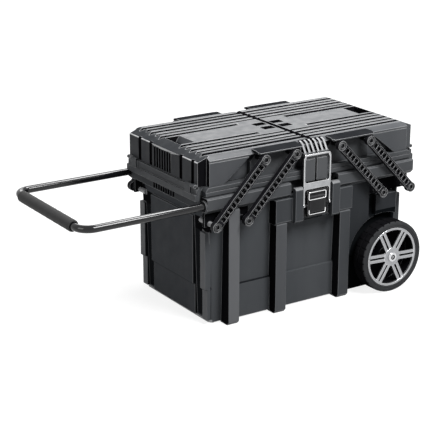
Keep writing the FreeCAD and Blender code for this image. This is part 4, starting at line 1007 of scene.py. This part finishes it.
@dataclass
class Wheels(Assembly):
    """Two wheels on their axle."""

    steps: int = 120
    cap_steps: int = 48
    slot_pitch: int = 4
    slot_margin: float = 0.5 * MM
    slot_depth: float = 1.2 * MM
    tread_radius: float = 90.0 * MM
    tread_middle: float = 192.5 * MM
    plain_half_width: float = 6.0 * MM
    tyre_smooth: float = 32.0
    cap_smooth: float = 40.0
    trim_edge: float = 0.9 * MM
    core_edge: float = 0.6 * MM
    tyre_section: Profile = (
        (173.0, 75.8), (171.2, 77.2), (170.0, 80.5), (170.3, 85.5), (172.2, 89.4), (176.0, 91.4),
        (180.0, 92.0), (189.9, 92.0), (190.4, 89.6), (194.6, 89.6), (195.1, 92.0), (208.0, 92.0),
        (211.4, 91.5), (213.8, 90.0), (214.8, 87.6), (215.0, 82.6), (214.2, 82.0), (214.2, 80.4),
        (215.0, 79.8), (214.6, 77.2), (212.8, 75.8), (173.0, 75.8),
    )
    cap_section: Profile = (
        (214.0, 12.5), (216.4, 12.5), (217.5, 11.7), (218.0, 10.2), (218.0, 6.4), (217.6, 6.0),
        (216.2, 5.6), (216.2, 3.4), (217.2, 3.0), (217.2, 2.0), (215.2, 1.7), (215.2, 0.05),
    )

    @property
    def centre(self) -> Vector:
        """A point of the axle's line."""
        return Vector((WHEEL_AXIS[0] * MM, 0.0, WHEEL_AXIS[1] * MM))

    def build(self) -> None:
        """Dress both wheels and the axle."""
        self.paint("axle", AXLE_STEEL)
        for end in End:
            self.build_tyre(end)
            self.build_cap(end)
            # Lighter rounded edges of trim and core: painted highlight
            self.mould(end.value + "_wheel_trim", Look(WHEEL_SILVER, SILVER_HIGHLIGHT_AND_CAP, self.trim_edge))
            self.mould(end.value + "_wheel_core", Look(WHEEL_BLACK, BLACK_EDGE_HIGHLIGHT, self.core_edge))

    def scaled(self, section: Profile, end: End) -> list[tuple[float, float]]:
        """A section in metres on one side of the box."""
        return [(end.sign * place * MM, radius * MM) for place, radius in section]

    def on_shoulder_slot(self, place: Vector, normal: Vector) -> bool:
        """Whether a face of the tread is one of those that become shoulder slots.

        Args:
            place: Its middle.
            normal: Its normal, which doesn't matter.

        Returns:
            True for one face in a few around the tyre, beside the middle of the tread.
        """
        spoke = place - Vector((self.centre.x, place.y, self.centre.z))
        turn = math.degrees(math.atan2(spoke.z, spoke.x)) % 360.0
        chosen = int(turn / (360.0 / self.steps)) % self.slot_pitch == 0
        aside = abs(abs(place.y) - self.tread_middle) > self.plain_half_width
        return chosen and aside and spoke.length > self.tread_radius

    def build_tyre(self, end: End) -> None:
        """Turn a tyre and cut its shoulder slots.

        Args:
            end: The wheel's side.
        """
        tyre = Bench.lathe("tyre_" + end.value, self.centre, self.scaled(self.tyre_section, end), self.steps)
        Bench.close_mesh(tyre)
        Bench.pick_faces(tyre, self.on_shoulder_slot)
        bpy.ops.mesh.inset(thickness=self.slot_margin, depth=-self.slot_depth)
        bpy.ops.object.mode_set(mode="OBJECT")
        Bench.smooth(tyre, self.tyre_smooth)
        self.coat(tyre, [TYRE_RUBBER, TREAD_SHADE])
        # The tread takes the near black colour: painted shade
        self.tint(tyre, 1, [TYRE_TREAD])
        self.mount(tyre, end.value + "_tyre")

    def build_cap(self, end: End) -> None:
        """Turn a dished hub cap.

        Args:
            end: The wheel's side.
        """
        section = self.scaled(self.cap_section, end)
        cap = Bench.lathe("hub_cap_" + end.value, self.centre, section, self.cap_steps)
        Bench.only(cap)
        bpy.ops.object.mode_set(mode="EDIT")
        bpy.ops.mesh.select_all(action="SELECT")
        bpy.ops.mesh.region_to_loop()
        bpy.ops.mesh.edge_face_add()
        bpy.ops.object.mode_set(mode="OBJECT")
        Bench.close_mesh(cap)
        Bench.smooth(cap, self.cap_smooth)
        self.coat(cap, [SILVER_HIGHLIGHT_AND_CAP, BLACK_PLASTIC])
        self.tint(cap, 1, [CAP_DISH, CAP_MIDDLE])
        self.mount(cap, end.value + "_hub_cap")


@dataclass
class PullHandle(Assembly):
    """Bent tube with its foam sleeve and end plugs."""

    tube_smooth: float = 40.0
    grip_x: float = -619.0 * MM
    grip_z: float = 305.0 * MM
    half_length: float = 128.0 * MM
    radius: float = 14.0 * MM
    bore: float = 9.0 * MM
    steps: int = 56
    rings: int = 60
    mouth_depth: float = 1.2 * MM
    end_step: float = 3.0 * MM
    end_round: float = 0.9 * MM
    skin_height: float = 0.12 * MM
    skin_waves: Sequence[Triple] = ((1.0, 0.83, 0.0), (0.6, 2.17, 1.0))

    def build(self) -> None:
        """Dress the handle."""
        self.build_tube()
        for end in End:
            self.paint(end.value + "_handle_plug", BLACK_PLASTIC)
        self.build_grip()

    def build_tube(self) -> None:
        """Smooth the tube, which has no edges to round."""
        tube = self.copy_node("handle_tube", "drawn_handle_tube")
        Bench.close_mesh(tube)
        Bench.smooth(tube, self.tube_smooth)
        self.coat(tube, [HANDLE_PAINT])
        self.mount(tube, "handle_tube")

    def grip_end(self, end: End) -> list[tuple[float, float]]:
        """Section of one soft end of the sleeve, from its bore outwards.

        Args:
            end: Which end.

        Returns:
            Places along Y and radii.
        """
        face = end.sign * self.half_length
        return [
            (face - end.sign * self.mouth_depth, self.bore),
            (face, self.radius - self.end_step),
            (face - end.sign * self.end_round, self.radius - self.end_round),
        ]

    def build_grip(self) -> None:
        """Turn the foam sleeve with soft ends and a slightly uneven skin."""
        profile = self.grip_end(End.FRONT)
        first = -self.half_length + self.end_step
        for index in range(self.rings + 1):
            wave = sum(size * math.sin(index * pace + start) for size, pace, start in self.skin_waves)
            profile.append((first - 2.0 * first * index / self.rings, self.radius + self.skin_height * wave))
        profile += reversed(self.grip_end(End.REAR))
        profile.append(profile[0])
        grip = Bench.lathe("foam_grip", Vector((self.grip_x, 0.0, self.grip_z)), profile, self.steps)
        Bench.close_mesh(grip)
        Bench.smooth(grip)
        self.coat(grip, [GRIP_FOAM])
        self.mount(grip, "handle_grip")


@dataclass
class ToggleLatch(Assembly):
    """Base, lever with its wires, pad and bail on the front wall."""

    edge: float = 0.5 * MM
    bail_edge: float = 0.8 * MM
    wire_radius: float = 1.3 * MM
    wire_steps: int = 14
    wire_y: float = -191.2 * MM
    ring_half_length: float = 25.0 * MM
    ring_low: float = 277.0 * MM
    ring_high: float = 295.4 * MM
    lip_half_length: float = 24.0 * MM
    lip_low: float = 240.5 * MM
    lip_high: float = 252.0 * MM
    bend: float = 3.5 * MM
    bend_steps: int = 6

    def build(self) -> None:
        """Dress the latch."""
        # The rounded edges of the latch parts and bail are lighter: painted highlight
        for node in ("latch_base", "latch_lever", "latch_pad"):
            self.mould(node, Look(BLACK_PLASTIC, BLACK_EDGE_HIGHLIGHT, self.edge))
        self.paint("latch_pin", PIN_STEEL)
        self.mould("latch_bail", Look(LATCH_STEEL, BRIGHT_WIRE_AND_EDGE_HIGHLIGHT, self.bail_edge))
        self.build_ring()
        self.build_lip()

    def bend_wire(self, name: str, start: Limits, draws: Profile, bends: Profile) -> bpy.types.Object:
        """Draw a wire and bend it a quarter turn to the right after each straight.

        Args:
            name: Name of the piece.
            start: Its first end along X and Z.
            draws: Lengths of the straights along X and Z.
            bends: Centres of the bends along X and Z.

        Returns:
            The wire in edit mode, with its last end selected.
        """
        first = (start[0], self.wire_y, start[1])
        wire = Bench.start_circle(name, first, self.wire_radius, self.wire_steps, 0.0)
        for draw, bend in zip_longest(draws, bends):
            Bench.draw_on(draw[0], 0.0, draw[1])
            if bend is not None:
                centre = (bend[0], self.wire_y, bend[1])
                bpy.ops.mesh.spin(
                    steps=self.bend_steps, angle=math.pi / 2, center=centre, axis=(0.0, -1.0, 0.0)
                )
        return wire

    def finish_wire(self, wire: bpy.types.Object) -> None:
        """Close a wire and put it on the lever.

        Args:
            wire: The wire in edit mode.
        """
        bpy.ops.object.mode_set(mode="OBJECT")
        Bench.close_mesh(wire)
        Bench.smooth(wire)
        self.coat(wire, [BRIGHT_WIRE_AND_EDGE_HIGHLIGHT])
        self.mount(wire, "latch_lever", False)

    def build_ring(self) -> None:
        """Bend the closed ring above the pad."""
        near = self.ring_half_length - self.bend
        low, high = self.ring_low + self.bend, self.ring_high - self.bend
        draws = [(0.0, high - low), (2.0 * near, 0.0), (0.0, low - high), (-2.0 * near, 0.0)]
        bends = [(-near, high), (near, high), (near, low), (-near, low)]
        self.finish_wire(self.bend_wire("lever_ring", (-self.ring_half_length, low), draws, bends))

    def build_lip(self) -> None:
        """Bend the wire around the lower end of the pad."""
        near = self.lip_half_length - self.bend
        low = self.lip_low + self.bend
        leg = self.lip_high - low
        draws = [(0.0, -leg), (-2.0 * near, 0.0), (0.0, leg)]
        bends = [(near, low), (-near, low)]
        wire = self.bend_wire("lever_lip_wire", (self.lip_half_length, self.lip_high), draws, bends)
        bpy.ops.mesh.edge_face_add()
        self.finish_wire(wire)


@dataclass(frozen=True)
class Lamp:
    """A soft lamp with its place and sides in metres and its power in watts."""

    name: str
    place: Triple
    sides: tuple[float, float]
    power: float


@dataclass
class Studio:
    """Floor, lamps, sky and camera."""

    lamps: Sequence[Lamp] = (
        Lamp("key", (0.35, -1.9, 2.5), (1.2, 1.2), 112.0),
        Lamp("end", (-2.4, -0.5, 1.3), (1.2, 1.2), 15.5),
        Lamp("overhead", (0.62, 0.25, 2.2), (1.0, 0.55), 36.0),
        Lamp("back", (1.5, 2.4, 1.5), (1.8, 1.8), 20.0),
    )
    lamp_target: Triple = (0.0, 0.0, 0.22)
    floor_side: float = 40.0
    floor_grid: int = 4
    floor_colour: Triple = (0.30, 0.30, 0.30)
    glow_reach: Limits = (0.9, 3.2)
    glow_strength: Limits = (0.84, 1.0)
    sky_colour: Triple = (0.95, 0.97, 1.0)
    sky_strength: float = 0.10
    target: Triple = (-0.17270, 0.0, 0.22007)
    azimuth: float = -32.93
    elevation: float = 18.41
    distance: float = 3.38491
    focal_pixels: float = 1385.79
    image_width: float = 426.0
    sensor_width: float = 36.0

    def build(self) -> None:
        """Set the stage."""
        self.build_floor()
        self.build_sky()
        for lamp in self.lamps:
            self.hang(lamp)
        self.aim_camera()
        bpy.context.scene.view_settings.view_transform = "Standard"

    def build_floor(self) -> None:
        """A pale floor that looks white and keeps a soft shadow."""
        Bench.clear()
        bpy.ops.mesh.primitive_grid_add(
            x_subdivisions=self.floor_grid,
            y_subdivisions=self.floor_grid,
            size=self.floor_side,
            location=(0.0, 0.0, 0.0),
        )
        floor = bpy.context.object
        floor.name = "studio_floor"
        material = bpy.data.materials.new("studio_floor_white")
        graph = Graph(material, "ShaderNodeOutputMaterial")
        plain = graph.add("ShaderNodeBsdfDiffuse", {"Color": (*self.floor_colour, 1.0)})
        away = graph.add("ShaderNodeVectorMath", operation="LENGTH")
        graph.join(graph.coords, away.inputs[0])
        glow = graph.add("ShaderNodeEmission")
        strength = graph.span(away.outputs["Value"], self.glow_reach, self.glow_strength)
        graph.join(strength, glow.inputs["Strength"])
        seen = graph.add("ShaderNodeAddShader")
        graph.join(plain.outputs[0], seen.inputs[0])
        graph.join(glow.outputs[0], seen.inputs[1])
        graph.white_for_view(plain.outputs[0], seen.outputs[0])
        floor.data.materials.append(material)

    def build_sky(self) -> None:
        """A soft grey sky that looks white."""
        world = bpy.data.worlds.new("studio_sky")
        bpy.context.scene.world = world
        graph = Graph(world, "ShaderNodeOutputWorld")
        dim_values = {"Color": (*self.sky_colour, 1.0), "Strength": self.sky_strength}
        dim = graph.add("ShaderNodeBackground", dim_values)
        white = graph.add("ShaderNodeBackground", {"Color": (*EVEN, 1.0), "Strength": 1.0})
        graph.white_for_view(dim.outputs[0], white.outputs[0])

    def hang(self, lamp: Lamp) -> None:
        """Hang a soft lamp that faces the box.

        Args:
            lamp: The lamp.
        """
        light = bpy.data.lights.new(lamp.name + "_lamp", "AREA")
        light.shape = "RECTANGLE"
        light.size, light.size_y = lamp.sides
        light.energy = lamp.power
        holder = bpy.data.objects.new(lamp.name + "_lamp", light)
        holder.location = lamp.place
        aim = Vector(self.lamp_target) - Vector(lamp.place)
        holder.rotation_euler = aim.to_track_quat("-Z", "Y").to_euler()
        bpy.context.scene.collection.objects.link(holder)

    def aim_camera(self) -> None:
        """Stand the camera where the photograph was taken."""
        turn, rise = math.radians(self.azimuth), math.radians(self.elevation)
        away = Vector((math.sin(turn) * math.cos(rise), -math.cos(turn) * math.cos(rise), math.sin(rise)))
        lens = bpy.data.cameras.new("photo_camera")
        lens.sensor_fit = "HORIZONTAL"
        lens.sensor_width = self.sensor_width
        lens.lens = self.focal_pixels * self.sensor_width / self.image_width
        camera = bpy.data.objects.new("photo_camera", lens)
        camera.location = Vector(self.target) + away * self.distance
        camera.rotation_euler = (-away).to_track_quat("-Z", "Y").to_euler()
        bpy.context.scene.collection.objects.link(camera)
        bpy.context.scene.camera = camera


def main() -> None:
    """Load the frame, dress it, set the stage and log the number of pieces."""
    logging.basicConfig(level=logging.INFO, format="%(name)s: %(message)s")
    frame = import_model()
    assemblies = [BoxShell(frame), Wheels(frame), PullHandle(frame), ToggleLatch(frame)]
    for assembly in assemblies:
        assembly.build()
        LOG.info("%s: %d pieces", type(assembly).__name__, len(assembly.made))
    Studio().build()
    Bench.clear()


if __name__ == "__main__":
    main()
